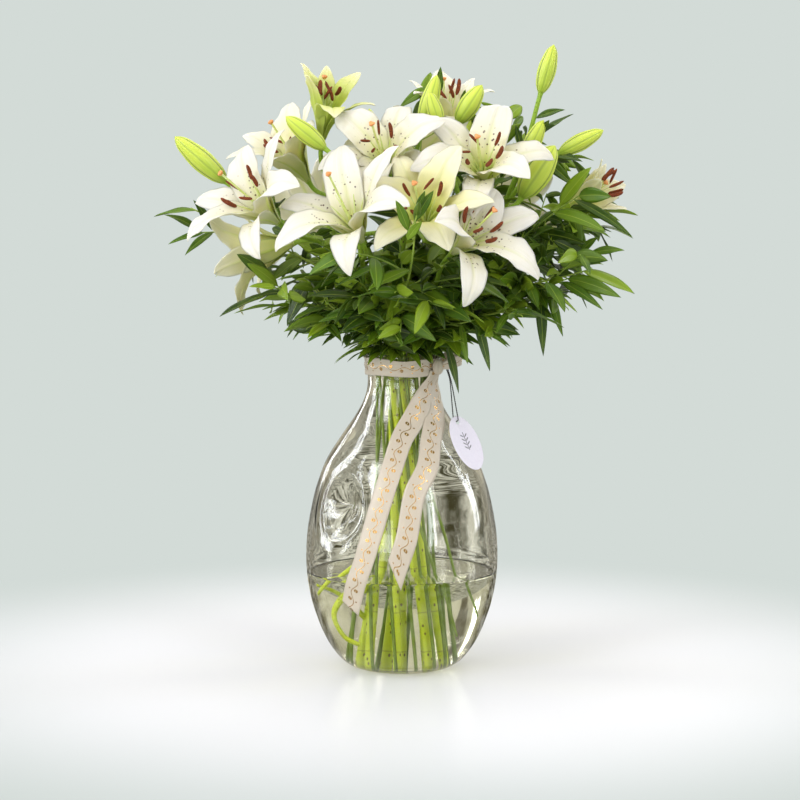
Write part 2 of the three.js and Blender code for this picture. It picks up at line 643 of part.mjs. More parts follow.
// A tail of the ribbon, lying on the glass: it is lifted over the band where it leaves the knot
function tail({ line, slant }) {
  const { rows, half, gathered, stand, thickness } = RIBBON;
  const points = line.map(([azimuth, z]) => v3(azimuth, z, 0));
  const spot = (share) => along(points, THREE.MathUtils.clamp(share, 0, 1)).point;
  const layer = (lift) => Array.from({ length: rows }, (_, i) => {
    const share = i / (rows - 1);
    const here = spot(share);
    const radius = outside(here.y);
    const slope = spot(share + 0.02).sub(spot(share - 0.02));
    const way = new THREE.Vector2(radians(slope.x) * radius, slope.y).normalize();
    const wide = THREE.MathUtils.lerp(gathered, half, Math.min(1, 4 * share));
    const off = stand + lift + 2.4 * Math.max(0, 1 - 7 * share);
    return [-1, 0, 1].map((side) => {
      const cut = ((slant * (side + 1)) / 2) * THREE.MathUtils.clamp((share - 0.85) / 0.15, 0, 1);
      const azimuth = here.x + THREE.MathUtils.radToDeg((-side * wide * way.y + cut * way.x) / radius);
      const z = here.y + side * wide * way.x + cut * way.y;
      return polar(azimuth, outside(z) + off, z);
    });
  });
  return strip(layer(thickness), layer(0));
}

// A loop of the bow: a strip that leaves the knot, turns and comes back to it
function loop({ turn, length, rise }, root) {
  const way = polar(KNOT.azimuth + turn, 1, 0);
  const across = v3(-way.y, way.x, 0);
  const shape = [[0, -0.15], [0.45, -1], [0.85, -0.9], [1, 0], [0.85, 0.9], [0.45, 1], [0, 0.15]];
  const layer = (inset) => shape.map(([out, swell]) => {
    const p = root.clone().addScaledVector(way, out * (length - inset));
    p.addScaledVector(across, swell * (LOOP.swell - inset));
    const tall = LOOP.half * (0.45 + 0.55 * Math.min(1, 2 * out));
    return [-1, 1].map((side) => p.clone().add(v3(0, 0, rise * out + side * tall)));
  });
  return strip(layer(0), layer(RIBBON.thickness));
}

function ribbon() {
  const { stand, thickness, low, high } = RIBBON;
  const over = stand + thickness;
  const section = [[low, stand], [high, stand], [high, over], [low, over], [low, stand]];
  const band = turned(section.map(([z, off]) => [z, outside(z) + off]), 20);
  const inKnot = (z, out) => polar(KNOT.azimuth, outside(KNOT.height) + out, z);
  const levels = [-0.5, -0.2, 0.2, 0.5].map((share) => inKnot(KNOT.height + share * KNOT.tall, KNOT.out));
  const knot = rod(levels, [0.6, 1, 1, 0.6].map((r) => r * KNOT.radius), 6);
  const root = inKnot(KNOT.height, KNOT.out + 1);
  return join([band, knot, ...LOOPS.map((bow) => loop(bow, root)), ...TAILS.map(tail)]);
}
add("ribbon", place(ribbon(), "ribbon"), "ribbon");

// Tag, with an eye near its upper end, and its string: out of the knot, through the eye and back
const tagUp = v3(
  -Math.cos(radians(TAG_AIM.azimuth)) * Math.sin(radians(TAG_AIM.lean)),
  -Math.sin(radians(TAG_AIM.azimuth)) * Math.sin(radians(TAG_AIM.lean)),
  Math.cos(radians(TAG_AIM.lean)),
);
const tagSide = polar(TAG_AIM.azimuth + 90, 1, 0);
const tagLong = tagUp.clone().applyAxisAngle(tagUp.clone().cross(tagSide).normalize(), radians(-TAG_AIM.roll));
const tagOut = tagSide.clone().cross(tagUp).normalize();
const eye = vec(TAG.centre).addScaledVector(tagLong, EYE.up);

function tag() {
  const oval = new THREE.Shape();
  oval.absellipse(0, 0, TAG.wide, TAG.long, 0, 2 * Math.PI);
  const hole = new THREE.Path();
  hole.absarc(0, EYE.up, EYE.radius, 0, 2 * Math.PI);
  oval.holes.push(hole);
  const card = new THREE.ExtrudeGeometry(oval, { depth: TAG.thickness, bevelEnabled: false, curveSegments: 7 });
  const frame = new THREE.Matrix4().makeBasis(tagLong.clone().cross(tagOut), tagLong, tagOut);
  card.applyMatrix4(frame.setPosition(vec(TAG.centre)));
  return solid(card);
}
add("tag", place(tag(), "tag"), "card");

function string() {
  const r = STRING_RADIUS;
  const knotAt = (turn, out, z) => polar(KNOT.azimuth + turn, outside(KNOT.height) + out, z);
  const hung = eye.clone().addScaledVector(tagLong, EYE.radius - r - GAP);
  const path = [
    knotAt(8, KNOT.out + KNOT.radius + 2, KNOT.height + 2),
    knotAt(10, KNOT.out + 12, KNOT.height - 18),
    eye.clone().addScaledVector(tagOut, 4).addScaledVector(tagLong, 5),
    hung.clone().addScaledVector(tagOut, TAG.thickness + r + 0.8),
    hung.clone().addScaledVector(tagOut, -r - 0.8),
    eye.clone().addScaledVector(tagOut, -3).addScaledVector(tagLong, 6),
    knotAt(18, KNOT.out + 8, KNOT.height - 16),
    knotAt(14, KNOT.out + KNOT.radius, KNOT.height - 3),
  ];
  const section = new THREE.Shape().absarc(0, 0, r, 0, 2 * Math.PI);
  const route = new THREE.CatmullRomCurve3(path, false, "catmullrom", 0.3);
  return outward(new THREE.ExtrudeGeometry(section, { steps: 40, curveSegments: 3, extrudePath: route }));
}
add("tag_string", place(string(), "string"), "string");

// The leaves of a shoot: alternate ones along its line and one at its end
function shootLeaves(line, from, count, seed, own, azimuth) {
  const leaves = [];
  for (let k = 0; k < count; k++) {
    const last = k === count - 1;
    const { point, way } = along(line, last ? 0.98 : from + ((1 - from) * k) / count);
    const level = way.clone().cross(v3(0, 0, 1)).normalize();
    const splay = last ? 0 : radians(SPRAY.splay) * (k % 2 === 0 ? 1 : -1) * (0.8 + 0.4 * chance(seed + k));
    const { clamp } = THREE.MathUtils;
    const hang = SPRAY.droop * Math.min(clamp((620 - point.z) / 180, 0, 1), clamp((point.z - 352) / 50, 0, 1));
    const out = way.clone().multiplyScalar(Math.cos(splay)).addScaledVector(level, Math.sin(splay));
    out.z -= hang;
    out.normalize();
    const length = LEAF.length * (0.8 + 0.35 * chance(seed + k + 0.5));
    const half = LEAF.half * (0.85 + 0.3 * chance(seed + k + 0.7));
    const make = (turn, thickness) => {
      const aim = out.clone().applyAxisAngle(way, radians(turn));
      const face = v3(0, 0, 1).add(polar(azimuth, 0.3, 0));
      const up = face.addScaledVector(aim, -face.dot(aim)).normalize();
      up.applyAxisAngle(aim, radians(70 * (chance(seed + k + 0.3) - 0.5)));
      return leaf({ root: point, way: aim, up, length, half, thickness });
    };
    const turn = LEAF_TRIES.find((t) => clear(make(t, LEAF.thickness + 0.4), own));
    if (turn !== undefined) leaves.push(place(make(turn, LEAF.thickness), `${own} leaves`));
  }
  return leaves;
}

// Greenery
sprays.forEach(({ name, azimuth, reach, line, stem }, i) => {
  const own = `spray_${name}`;
  const pieces = [stem, ...shootLeaves(line, 0.42, SPRAY.leaves, 100 * i, own, azimuth)];
  for (let t = 0; t < SPRAY.twigs; t++) {
    const { point, way } = along(line, 0.12 + reach / 1100 + 0.19 * t);
    const level = way.clone().cross(v3(0, 0, 1)).normalize();
    const side = t % 2 === 0 ? 1 : -1;
    const length = SPRAY.twigLength * (0.8 + 0.4 * chance(30 * i + t));
    const make = (turn) => {
      const splay = radians(55);
      const aim = way.clone().multiplyScalar(Math.cos(splay)).addScaledVector(level, side * Math.sin(splay));
      aim.applyAxisAngle(way, radians(turn));
      const far = point.clone().addScaledVector(aim, length);
      return [point, point.clone().lerp(far, 0.5).addScaledVector(v3(0, 0, 1), 4), far];
    };
    const bar = (points) => rod(points, [SPRAY.twigRadius, SPRAY.twigRadius, 0.7], 3);
    const turn = LEAF_TRIES.find((a) => clear(bar(make(a)), own));
    if (turn === undefined) continue;
    const twig = make(turn);
    const seed = 100 * i + 10 * t + 31;
    pieces.push(place(bar(twig), own), ...shootLeaves(twig, 0.35, SPRAY.twigLeaves, seed, own, azimuth));
  }
  add(own, join(pieces), "foliage");
});

export default bouquet;
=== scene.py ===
"""White lilies and ruscus greenery in a dented, pear-shaped glass vase, with a ribbon and a card tag.

Shapes are worked out in millimetres, in the frame's axes, and put into the meshes in metres.
"""
import math

import bpy
import numpy as np
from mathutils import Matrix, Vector
from mathutils.bvhtree import BVHTree


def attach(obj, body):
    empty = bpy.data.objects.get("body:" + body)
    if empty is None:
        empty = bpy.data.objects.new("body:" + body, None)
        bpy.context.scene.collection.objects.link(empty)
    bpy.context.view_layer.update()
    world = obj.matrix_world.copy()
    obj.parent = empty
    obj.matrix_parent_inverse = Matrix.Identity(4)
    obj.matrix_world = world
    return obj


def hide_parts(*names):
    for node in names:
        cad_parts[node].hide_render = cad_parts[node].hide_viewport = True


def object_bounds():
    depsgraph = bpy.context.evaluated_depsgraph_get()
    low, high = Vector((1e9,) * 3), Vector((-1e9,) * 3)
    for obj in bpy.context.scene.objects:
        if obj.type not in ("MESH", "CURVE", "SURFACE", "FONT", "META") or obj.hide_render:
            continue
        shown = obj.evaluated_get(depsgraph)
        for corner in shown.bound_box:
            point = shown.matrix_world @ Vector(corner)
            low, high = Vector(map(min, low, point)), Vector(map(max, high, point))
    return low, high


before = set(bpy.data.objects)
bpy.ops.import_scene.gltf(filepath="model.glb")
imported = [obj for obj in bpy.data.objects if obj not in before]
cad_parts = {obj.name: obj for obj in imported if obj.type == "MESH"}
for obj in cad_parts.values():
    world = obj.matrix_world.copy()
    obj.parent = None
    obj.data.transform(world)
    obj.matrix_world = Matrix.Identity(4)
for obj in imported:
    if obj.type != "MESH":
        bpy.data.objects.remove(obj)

CAD_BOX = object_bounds()
MM = 0.001
UP = np.array([0.0, 0.0, 1.0])

# Camera: where it stands, how it is tipped, and its lens on a 36 mm sensor
CAMERA = {"place": (-2, -2800, 585), "pitch": 83.88, "lens": 120.0}

# Vase, as in the source: [height, radius] of its outside, its wall and floor, and the dent in its side
OUTLINE = np.array([
    [0, 46], [4, 57], [13, 68], [30, 79.6], [50, 88.7], [77, 97], [108, 101.3], [144, 100.3],
    [180, 94], [202, 87.6], [224, 78.6], [250, 62], [268, 49.6], [286, 40], [304, 36], [333, 37.5],
], float)
WALL, FLOOR, FLOOR_RADIUS, RIM_HEIGHT = 4.0, 9.0, 46.0, 333.0
DENT = {"azimuth": 225, "height": 180, "half_angle": 23, "half_height": 42, "depth": 25}
# Rings where the dent begins: where each lies, as a share of the dent, how far it stands in, and how wide
DENT_RINGS = [(1, 0.9, 0.07), (0.8, -0.8, 0.07)]
# How finely the glass and the water are drawn: rows along each line, and sides round the axis
VASE_GRID = {"outside": 110, "inside": 100, "sides": 224}
WATER_GRID = {"rows": 160, "sides": 192}
WATER_LEVEL = 103.0
# What the source leaves between pieces that touch, in millimetres
GAP = 0.3

# Stems that stand in the vase
NECK_HEIGHT = 330.0
LILY_STEM = {"radius": 4.2, "ring": 14, "foot": 34, "twist": 110}
SPRAY_STEM = {"radius": 1.7, "ring": 26, "foot": 44, "twist": 60}

# Blooms: stem, throat, facing, roll, tepal length, curl, each tepal's spread, the stamens' reach and whether
# they have their anthers, as in the source; tone is how green and yellow the flower still is
BLOOMS = {
    "left": dict(stem=0, throat=(-137, -75, 484), facing=(-0.68, -0.4, 0.62), roll=45, length=98, curl=95,
                 spread=(-10, -20, -20, 20, 10, -20), tone=0.05),
    "front_left": dict(stem=1, throat=(-46, -125, 470), facing=(-0.34, -0.54, 0.77), roll=25, length=104,
                       curl=90, spread=(-10, 15, 5, 25, -10, -30), tone=0.0, anthers=False),
    "middle": dict(stem=7, throat=(23, -118, 477), facing=(-0.08, -0.72, 0.69), roll=85, length=92, curl=92,
                   spread=(0, -10, 0, -15, -30, 0), tone=0.72),
    "upper_right": dict(stem=4, throat=(82, -85, 525), facing=(-0.04, -0.74, 0.67), roll=105, length=92,
                        curl=96, spread=(0, 0, -35, 25, 10, 15), tone=0.2),
    "front_right": dict(stem=2, throat=(59, -135, 456), facing=(0.51, -0.64, 0.57), roll=95, length=100,
                        curl=90, spread=(-20, 25, 0, -10, -30, 10), tone=0.0),
    "upper_middle": dict(stem=7, throat=(-16, -65, 536), facing=(-0.15, -0.72, 0.68), roll=50, length=86,
                         curl=85, spread=(20, 0, 0, 0, 0, 30), tone=0.2),
    "top_left": dict(stem=6, throat=(-81, -15, 574), facing=(0.14, -0.24, 0.96), roll=40, length=78, curl=30,
                     spread=(0, 0, 78, 45, 18, 0), reach=1.15, tone=1.0),
    "far_left": dict(stem=6, throat=(-107, 20, 528), facing=(-0.5, -0.29, 0.82), roll=40, length=88, curl=75,
                     spread=(-10, -20, -20, 0, 0, -30), tone=0.45),
    "low_left": dict(stem=0, throat=(-127, -20, 449), facing=(-0.93, 0.2, -0.2), roll=75, length=92, curl=72,
                     spread=(0, 0, -20, -30, -10, 0), tone=0.6),
    "top_middle": dict(stem=4, throat=(48, 20, 574), facing=(0, -0.14, 0.99), roll=15, length=74, curl=42,
                       spread=(0, 0, 35, 70, 35, 0), reach=1.25, tone=0.45),
    "far_right": dict(stem=3, throat=(179, 15, 488), facing=(0.82, -0.3, 0.49), roll=20, length=72, curl=30,
                      spread=(0, 0, 0, 0, 0, 0), reach=1.7, tone=0.7),
    "back_left": dict(stem=5, throat=(-88, 112, 470), facing=(-0.5, 0.7, 0.51), roll=25, length=96, curl=95,
                      spread=(0, 10, -10, 15, 0, -15), tone=0.1),
    "back_middle": dict(stem=5, throat=(10, 118, 520), facing=(0.05, 0.66, 0.75), roll=50, length=96,
                        curl=92, spread=(10, 0, -15, 0, 15, -10), tone=0.3),
    "back_right": dict(stem=3, throat=(98, 108, 470), facing=(0.52, 0.72, 0.46), roll=0, length=98, curl=95,
                       spread=(0, -10, 20, 0, -15, 10), tone=0.0),
}
# How far from a flower's axis its tepals start
TEPAL_ROOT = 3.2
# The two rings of tepals, the inner one first. As in the source: their half width, how far they flare at the
# root, in degrees, how high up they start and their share of the length. In the finished flower: their half
# width, how far they stand back where it isn't open, how far their edges are ruffled and folded up, and how
# many columns they are drawn with
TEPAL_RINGS = [
    {"half": 19, "flare": 11, "rise": 5, "share": 1,
     "full": 18.4, "apart": 0, "ruffle": 2.1, "cup": [0.3, 0.42, 0.2, -0.08, 0], "columns": 23},
    {"half": 14.5, "flare": 20, "rise": 2.5, "share": 0.97,
     "full": 14.2, "apart": 4.5, "ruffle": 1.3, "cup": [0.12, 0.22, 0.12, -0.12, 0], "columns": 17},
]
# How much more a tepal bends and is turned, in degrees, and its share of the length, in the order that they
# are tried in until it is clear of the rest
TEPAL_TRIES = [
    (0, 0, 1), (-10, 0, 1), (10, 0, 1), (0, 9, 1), (0, -9, 1), (-20, 0, 1), (20, 0, 1),
    (-10, 10, 1), (-10, -10, 1), (12, 10, 1), (12, -10, 1), (-30, 0, 0.96), (30, 0, 0.96),
    (0, 16, 0.9), (0, -16, 0.9), (-20, 14, 0.9), (-20, -14, 0.9), (20, 14, 0.9), (20, -14, 0.9),
    (-42, 0, 0.9), (42, 0, 0.9), (-25, 0, 0.78), (25, 0, 0.78), (0, 20, 0.75), (0, -20, 0.75),
    (-35, 15, 0.75), (-35, -15, 0.75), (35, 15, 0.75), (35, -15, 0.75), (-50, 0, 0.7), (50, 0, 0.7),
    (0, 0, 0.58), (-30, 0, 0.58), (30, 0, 0.58), (0, 20, 0.55), (0, -20, 0.55), (-45, 20, 0.55),
    (-45, -20, 0.55),
]
# The curl, in degrees, that a flower is fully open at, and that its stamens are fully spread at
OPEN_CURL, SPREAD_CURL = 80, 85
# What is inside a bloom, in millimetres, the stamens' spread in degrees, and the length of the tepals that
# these sizes belong to
LILY_LENGTH = 98
RECEPTACLE = {"height": 9.0, "throat": 16.0}
STAMEN = {"length": 40, "spread": 20, "anther": 16, "anther_thick": 4}
PISTIL = {"length": 72}
BOSS = {"radius": 1.9, "height": 2.6}

# Buds: the stem that carries each, its tip, its base and its radius
BUDS = [
    (0, (-235, -20, 561), (-184, -20, 516), 11.5), (1, (-117, -85, 582), (-79, -85, 551), 9.5),
    (3, (158, 0, 656), (145, 0, 608), 9.5), (3, (209, -10, 568), (165, -10, 545), 9),
    (4, (82, -40, 614), (58, -40, 577), 10.5), (7, (36, -35, 624), (21, -35, 571), 9.5),
    (7, (28, -58, 607), (39, -58, 573), 8), (3, (147, -10, 578), (128, -10, 540), 9),
    (4, (157, -45, 552), (124, -45, 501), 15), (5, (-35, 90, 590), (-28, 78, 540), 9),
    (5, (72, 75, 585), (58, 70, 540), 9.5),
]
# Side shoots that lily stems still have in the vase: each one's material (0 as the stem, 1 as the buds, 2 a
# darker twig), how thick it is, and the points that it goes through
SIDE_SHOOTS = {
    "back": [(0, 3.1, [(-19, -6, 130), (-48, -26, 114), (-72, -36, 96), (-82, -30, 84)]),
             (0, 4.2, [(-22, -10, 92), (-50, -40, 88), (-66, -44, 66), (-56, -42, 44), (-40, -44, 36)])],
    "front_left": [(2, 2.0, [(5, -6, 262), (24, -14, 205), (46, -22, 140), (58, -30, 96), (74, -34, 62)])],
    "left": [(2, 1.9, [(8, -16, 180), (28, -36, 128), (40, -48, 88), (54, -50, 44)])],
    "upper_right": [(0, 2.4, [(-26, 11, 60), (-50, 2, 84), (-74, -8, 92)])],
}
# Lily stems: the way each leans, how far out, and the fork where its flower stalks part
STEMS = [
    ("left", 205, 1, (-84, -22, 452)), ("front_left", 256, 1, (-40, -62, 430)),
    ("front_right", 308, 1, (34, -68, 410)), ("right", 359, 1, (96, 18, 470)),
    ("upper_right", 51, 1, (58, -14, 480)), ("back", 102, 1, (0, 62, 450)),
    ("back_left", 154, 1, (-62, 22, 490)), ("middle", 0, 0.05, (4, -36, 470)),
]
# A flower's stalk, the end that the flower sits on, and how long that is
STALK = {"radius": 2.3, "socket": 3.6, "neck": 6}

# Sprays: azimuth, reach, height of the tip and, where it isn't worked out, how steeply the tip points
SPRAYS = [
    ("left", 172, 226, 486, None), ("low_left", 203, 152, 402, None), ("front_left", 228, 116, 390, None),
    ("front", 254, 108, 400, None), ("front_high", 274, 188, 484, 2.6), ("front_right", 300, 112, 388, None),
    ("low_right", 325, 146, 388, None), ("lower_right", 346, 198, 425, None), ("right", 8, 212, 486, None),
    ("top_right", 28, 172, 566, None), ("back_right", 52, 176, 430, None), ("top_middle", 70, 75, 596, None),
    ("back", 102, 160, 405, None), ("back_left", 130, 182, 445, None),
]
# What each carries, as in the source, its twigs' length and the radius of their ends, and how its leaves and
# twigs stand off, in degrees
SPRAY = {"leaves": 4, "twigs": 3, "twig_leaves": 3, "twig_length": 66, "twig_end": 0.7, "splay": 50,
         "twig_splay": 55, "droop": 0.55}
LEAF = {"length": 54, "half": 9.5, "fold": 1.8, "sag": 0.12}
# Turns, in degrees, that a leaf or a twig is tried at until it has room
LEAF_TRIES = [0, 30, -30, 60, -60, 95, -95, 140, 180]
# How near a try has to come to the source's own points, in millimetres, to be the one that the source used
NEAR = {"tepal": 0.2, "leaf": 0.25, "twig": 0.1}
# Shoots that only the finished model has: how many each spray carries, where along it they end, their length
# and their leaves, and how often each is tried
SHOOTS = {"count": 11, "crown": 0.9, "length": 76, "leaves": 6, "leaf": 40, "half": 7.6, "tries": 6}
GOLDEN_ANGLE = 137.5
# How much room shoots and leaves keep to the blooms, the ribbon and the glass, in millimetres
ROOM = {"twig": 2.0, "leaf": 3.5, "collar": 2.0}
# The sprays that carry another number of shoots
FULL = {"right": 26, "top_right": 26, "lower_right": 20, "left": 9, "front_high": 18, "front_right": 14,
        "low_right": 14}
# The sprays whose shoots end lower, so that they leave the flowers in front of them open
CROWN = {"front_high": 0.55, "left": 0.7}
# The leaves that each spray has close above the rim, spread over so many degrees
COLLAR = {"count": 5, "leaf": 34, "half": 6.0, "spread": 36}
# The lowest that a leaf's tip may hang: at the rim, and how fast that rises past this distance from the
# axis
SKIRT = {"height": 326, "from": 52, "slope": 0.36}
# Sprigs that stand out among the flowers: where each leaves its spray's stem, as a share of it, the points
# that its twig goes through, and its leaves' roots, tips, half widths and tones
SPRIGS = {
    "right": [
        (0.5, [(158, -38, 484), (182, -48, 501)], [
            ((163, -40, 492), (196, -60, 534), 8.6, 0.75), ((182, -48, 501), (214, -66, 501), 8.4, 0.45),
            ((157, -38, 484), (205, -85, 466), 9.0, 0.6), ((178, -46, 497), (231, -50, 462), 5.2, 0.2),
            ((140, -25, 462), (188, -62, 452), 8.0, 0.1), ((135, -20, 456), (156, -70, 470), 6.5, 0.25)]),
        (0.62, [(165, -20, 440), (195, -40, 442)], [
            ((195, -40, 442), (229, -60, 446), 4.8, 0.5), ((176, -28, 442), (170, -60, 474), 5.5, 0.3),
            ((185, -35, 442), (204, -50, 462), 4.2, 0.35), ((160, -18, 438), (166, -84, 432), 6.0, 0.2)]),
    ],
    "lower_right": [
        (0.55, [(140, -48, 405), (171, -50, 416)], [
            ((171, -50, 416), (221, -80, 399), 8.0, 0.55), ((165, -50, 413), (202, -85, 388), 5.5, 0.35),
            ((143, -49, 405), (145, -66, 346), 6.0, 0.15), ((150, -48, 408), (164, -62, 362), 5.0, 0.5),
            ((150, -48, 408), (166, -92, 418), 6.0, 0.7), ((140, -48, 405), (148, -88, 388), 5.5, 0.25)]),
    ],
    "low_right": [
        (0.06, [(34, -30, 350), (46, -44, 350)], [
            ((46, -44, 350), (57, -53, 304), 4.8, 0.1), ((40, -36, 351), (70, -44, 328), 4.2, 0.3)]),
    ],
    "front_right": [
        (0.5, [(58, -80, 372), (76, -78, 376)], [
            ((76, -78, 376), (88, -84, 330), 5.2, 0.2), ((70, -79, 375), (104, -84, 350), 5.0, 0.45),
            ((60, -80, 372), (66, -92, 336), 4.8, 0.6)]),
    ],
    "front_high": [
        (0.9, [(6, -193, 470), (13, -196, 482), (14, -198, 493)], [
            ((6, -196, 472), (-8, -204, 507), 5.4, 0.55),
            ((5, -194, 463), (21, -212, 484), 4.8, 0.7),
            ((13, -196, 482), (33, -206, 516), 5.2, 0.35),
            ((14, -198, 491), (23, -207, 513), 3.2, 0.25)]),
    ],
    "left": [
        (0.8, [(-200, -6, 462), (-209, -10, 462)], [
            ((-209, -10, 462), (-250, -30, 484), 5.0, 0.2), ((-207, -10, 462), (-241, -32, 451), 4.2, 0.4),
            ((-198, -6, 462), (-222, -42, 441), 4.5, 0.3), ((-196, -4, 463), (-218, -32, 500), 4.5, 0.25)]),
    ],
    "top_right": [
        (None, [], [
            ((140, -3, 581), (170, -25, 590), 3.8, 0.2), ((124, -12, 550), (117, -20, 578), 3.6, 0.1),
            ((140, -6, 560), (155, -16, 582), 4.6, 0.1), ((146, -2, 545), (186, -22, 536), 5.0, 0.15),
            ((142, -4, 542), (176, -28, 512), 6.5, 0.2)]),
    ],
    "top_middle": [
        (None, [], [
            ((27, 8, 612), (0, 4, 593), 5.4, 0.55), ((37, 12, 600), (41, 5, 640), 4.6, 0.3),
            ((20, 6, 600), (12, -6, 568), 5.0, 0.1), ((62, 4, 590), (66, -14, 612), 3.4, 0.4)]),
    ],
}
# How wide the leaf that ends a spray's stem is, as a share of the source's, where it is slighter
END_LEAF = {"front_high": 0.4}

# Ribbon, knot, loops and tails, as in the source
RIBBON = {"half": 11, "gathered": 5, "stand": 1.7, "low": 313, "high": 331}
KNOT = {"azimuth": 329, "height": 322, "out": 7, "radius": 5, "tall": 14}
LOOPS = [(46, 25, 8), (86, 26, 11)]
LOOP = {"half": 6, "swell": 5}
TAILS = [
    (8, [(325, 318), (321, 306), (303, 290), (284, 271), (270, 252), (262.5, 222), (257, 190), (248.6, 135),
         (242, 102), (238, 81)]),
    (26, [(333, 318), (341, 306), (334, 290), (315, 271), (299.5, 252), (288.5, 222), (278, 196), (273, 155),
          (268, 127)]),
]

# Tag and its string
TAG = {"centre": (67.2, -38, 243.6), "long": 30.5, "wide": 18.5, "thickness": 0.8}
TAG_AIM = {"azimuth": 310, "lean": 27, "roll": 7.5}
EYE = {"radius": 2.4, "up": 24}
STRING_RADIUS, STRING_PITCH = 0.65, 4.0

# Windows of the room that the glass shows: the bearing of each one's middle and half its width, in degrees
WINDOWS = [(-140, 9), (-52, 5), (168, 7), (16, 6), (-168, 3), (124, 3)]
# Soft lamps: where each stands and how high on the axis it is aimed, in metres, its width, its power in
# watts and its height
LAMPS = {
    "window_left": ((-1.7, -1.7, 1.6), 0.35, 0.8, 10.5, 1.6),
    "window_middle": ((-0.6, -2.6, 1.9), 0.35, 0.5, 5.5, 1.4),
    "window_right": ((1.7, -1.9, 1.4), 0.35, 0.5, 8.5, 1.5),
    "low_front": ((-0.9, -2.6, 0.35), 0.4, 0.8, 6, 0.5),
    "overhead": ((-0.3, -0.4, 2.6), 0.4, 1.4, 11, 1.4),
    "back": ((0.9, 2.2, 1.9), 0.4, 1.2, 14, 1.2),
}


def chance(seed):
    """A repeatable number from 0 to 1: the fraction of 43758.5453 sin(12.9898 seed)."""
    x = math.sin(seed * 12.9898) * 43758.5453
    return x - math.floor(x)


def unit(v):
    """Vectors divided by their lengths."""
    return v / np.linalg.norm(v, axis=-1, keepdims=True)


def square_to(v, way):
    """The part of v that is square to a way, as a unit vector."""
    return unit(v - way * np.dot(v, way))


def polar(azimuth, radius, z):
    """The points at these azimuths, in degrees, radii and heights."""
    turn = np.radians(azimuth)
    return np.stack(np.broadcast_arrays(radius * np.cos(turn), radius * np.sin(turn), z), axis=-1)


def turned_about(v, axis, degrees):
    """v turned about an axis by Rodrigues' formula: v cos + (axis x v) sin + axis (axis . v)(1 - cos)."""
    a = math.radians(degrees)
    return v * math.cos(a) + np.cross(axis, v) * math.sin(a) + axis * np.dot(axis, v) * (1 - math.cos(a))


def bearing(facing, roll, turn):
    """The way out and the way round at a bearing about a facing direction."""
    w = unit(facing)
    u = unit(UP - w * w[2])
    t = math.radians(turn + roll)
    out = u * math.cos(t) + np.cross(w, u) * math.sin(t)
    return out, np.cross(out, w)


def bezier(a, b, c, d, count):
    """count + 1 points of a cubic Bezier curve, evenly in its parameter."""
    t = np.linspace(0, 1, count + 1)[:, None]
    return a * (1 - t) ** 3 + 3 * b * t * (1 - t) ** 2 + 3 * c * t * t * (1 - t) + d * t ** 3


def catmull(points, count, tension=0.5):
    """Points on a Catmull-Rom spline: cubic Hermite pieces whose tangents are tension times the chord
    between each point's two neighbours, with the end points mirrored past the ends."""
    p = np.asarray(points, float)
    p = np.vstack([2 * p[0] - p[1], p, 2 * p[-1] - p[-2]])
    spot = np.linspace(0, len(p) - 3, count)
    i = np.minimum(spot.astype(int), len(p) - 4)
    t = (spot - i)[:, None]
    a, b, c, d = p[i], p[i + 1], p[i + 2], p[i + 3]
    enter, leave = tension * (c - a), tension * (d - b)
    return (b * (2 * t ** 3 - 3 * t ** 2 + 1) + enter * (t ** 3 - 2 * t ** 2 + t)
            + c * (3 * t ** 2 - 2 * t ** 3) + leave * (t ** 3 - t ** 2))


def along(points, share):
    """The point at a share of a line's steps, and the way the line goes there."""
    spot = share * (len(points) - 1)
    i = min(int(spot), len(points) - 2)
    way = points[i + 1] - points[i]
    return points[i] + way * (spot - i), unit(way)


def spaced(points, count):
    """A line's points moved to even distances along it."""
    step = np.linalg.norm(np.diff(points, axis=0), axis=1)
    reach = np.concatenate([[0], np.cumsum(step)])
    at = np.linspace(0, reach[-1], count)
    return np.stack([np.interp(at, reach, points[:, k]) for k in range(3)], axis=1)


def length_of(points):
    """How long a line is: the sum of its steps."""
    return float(np.linalg.norm(np.diff(points, axis=0), axis=1).sum())


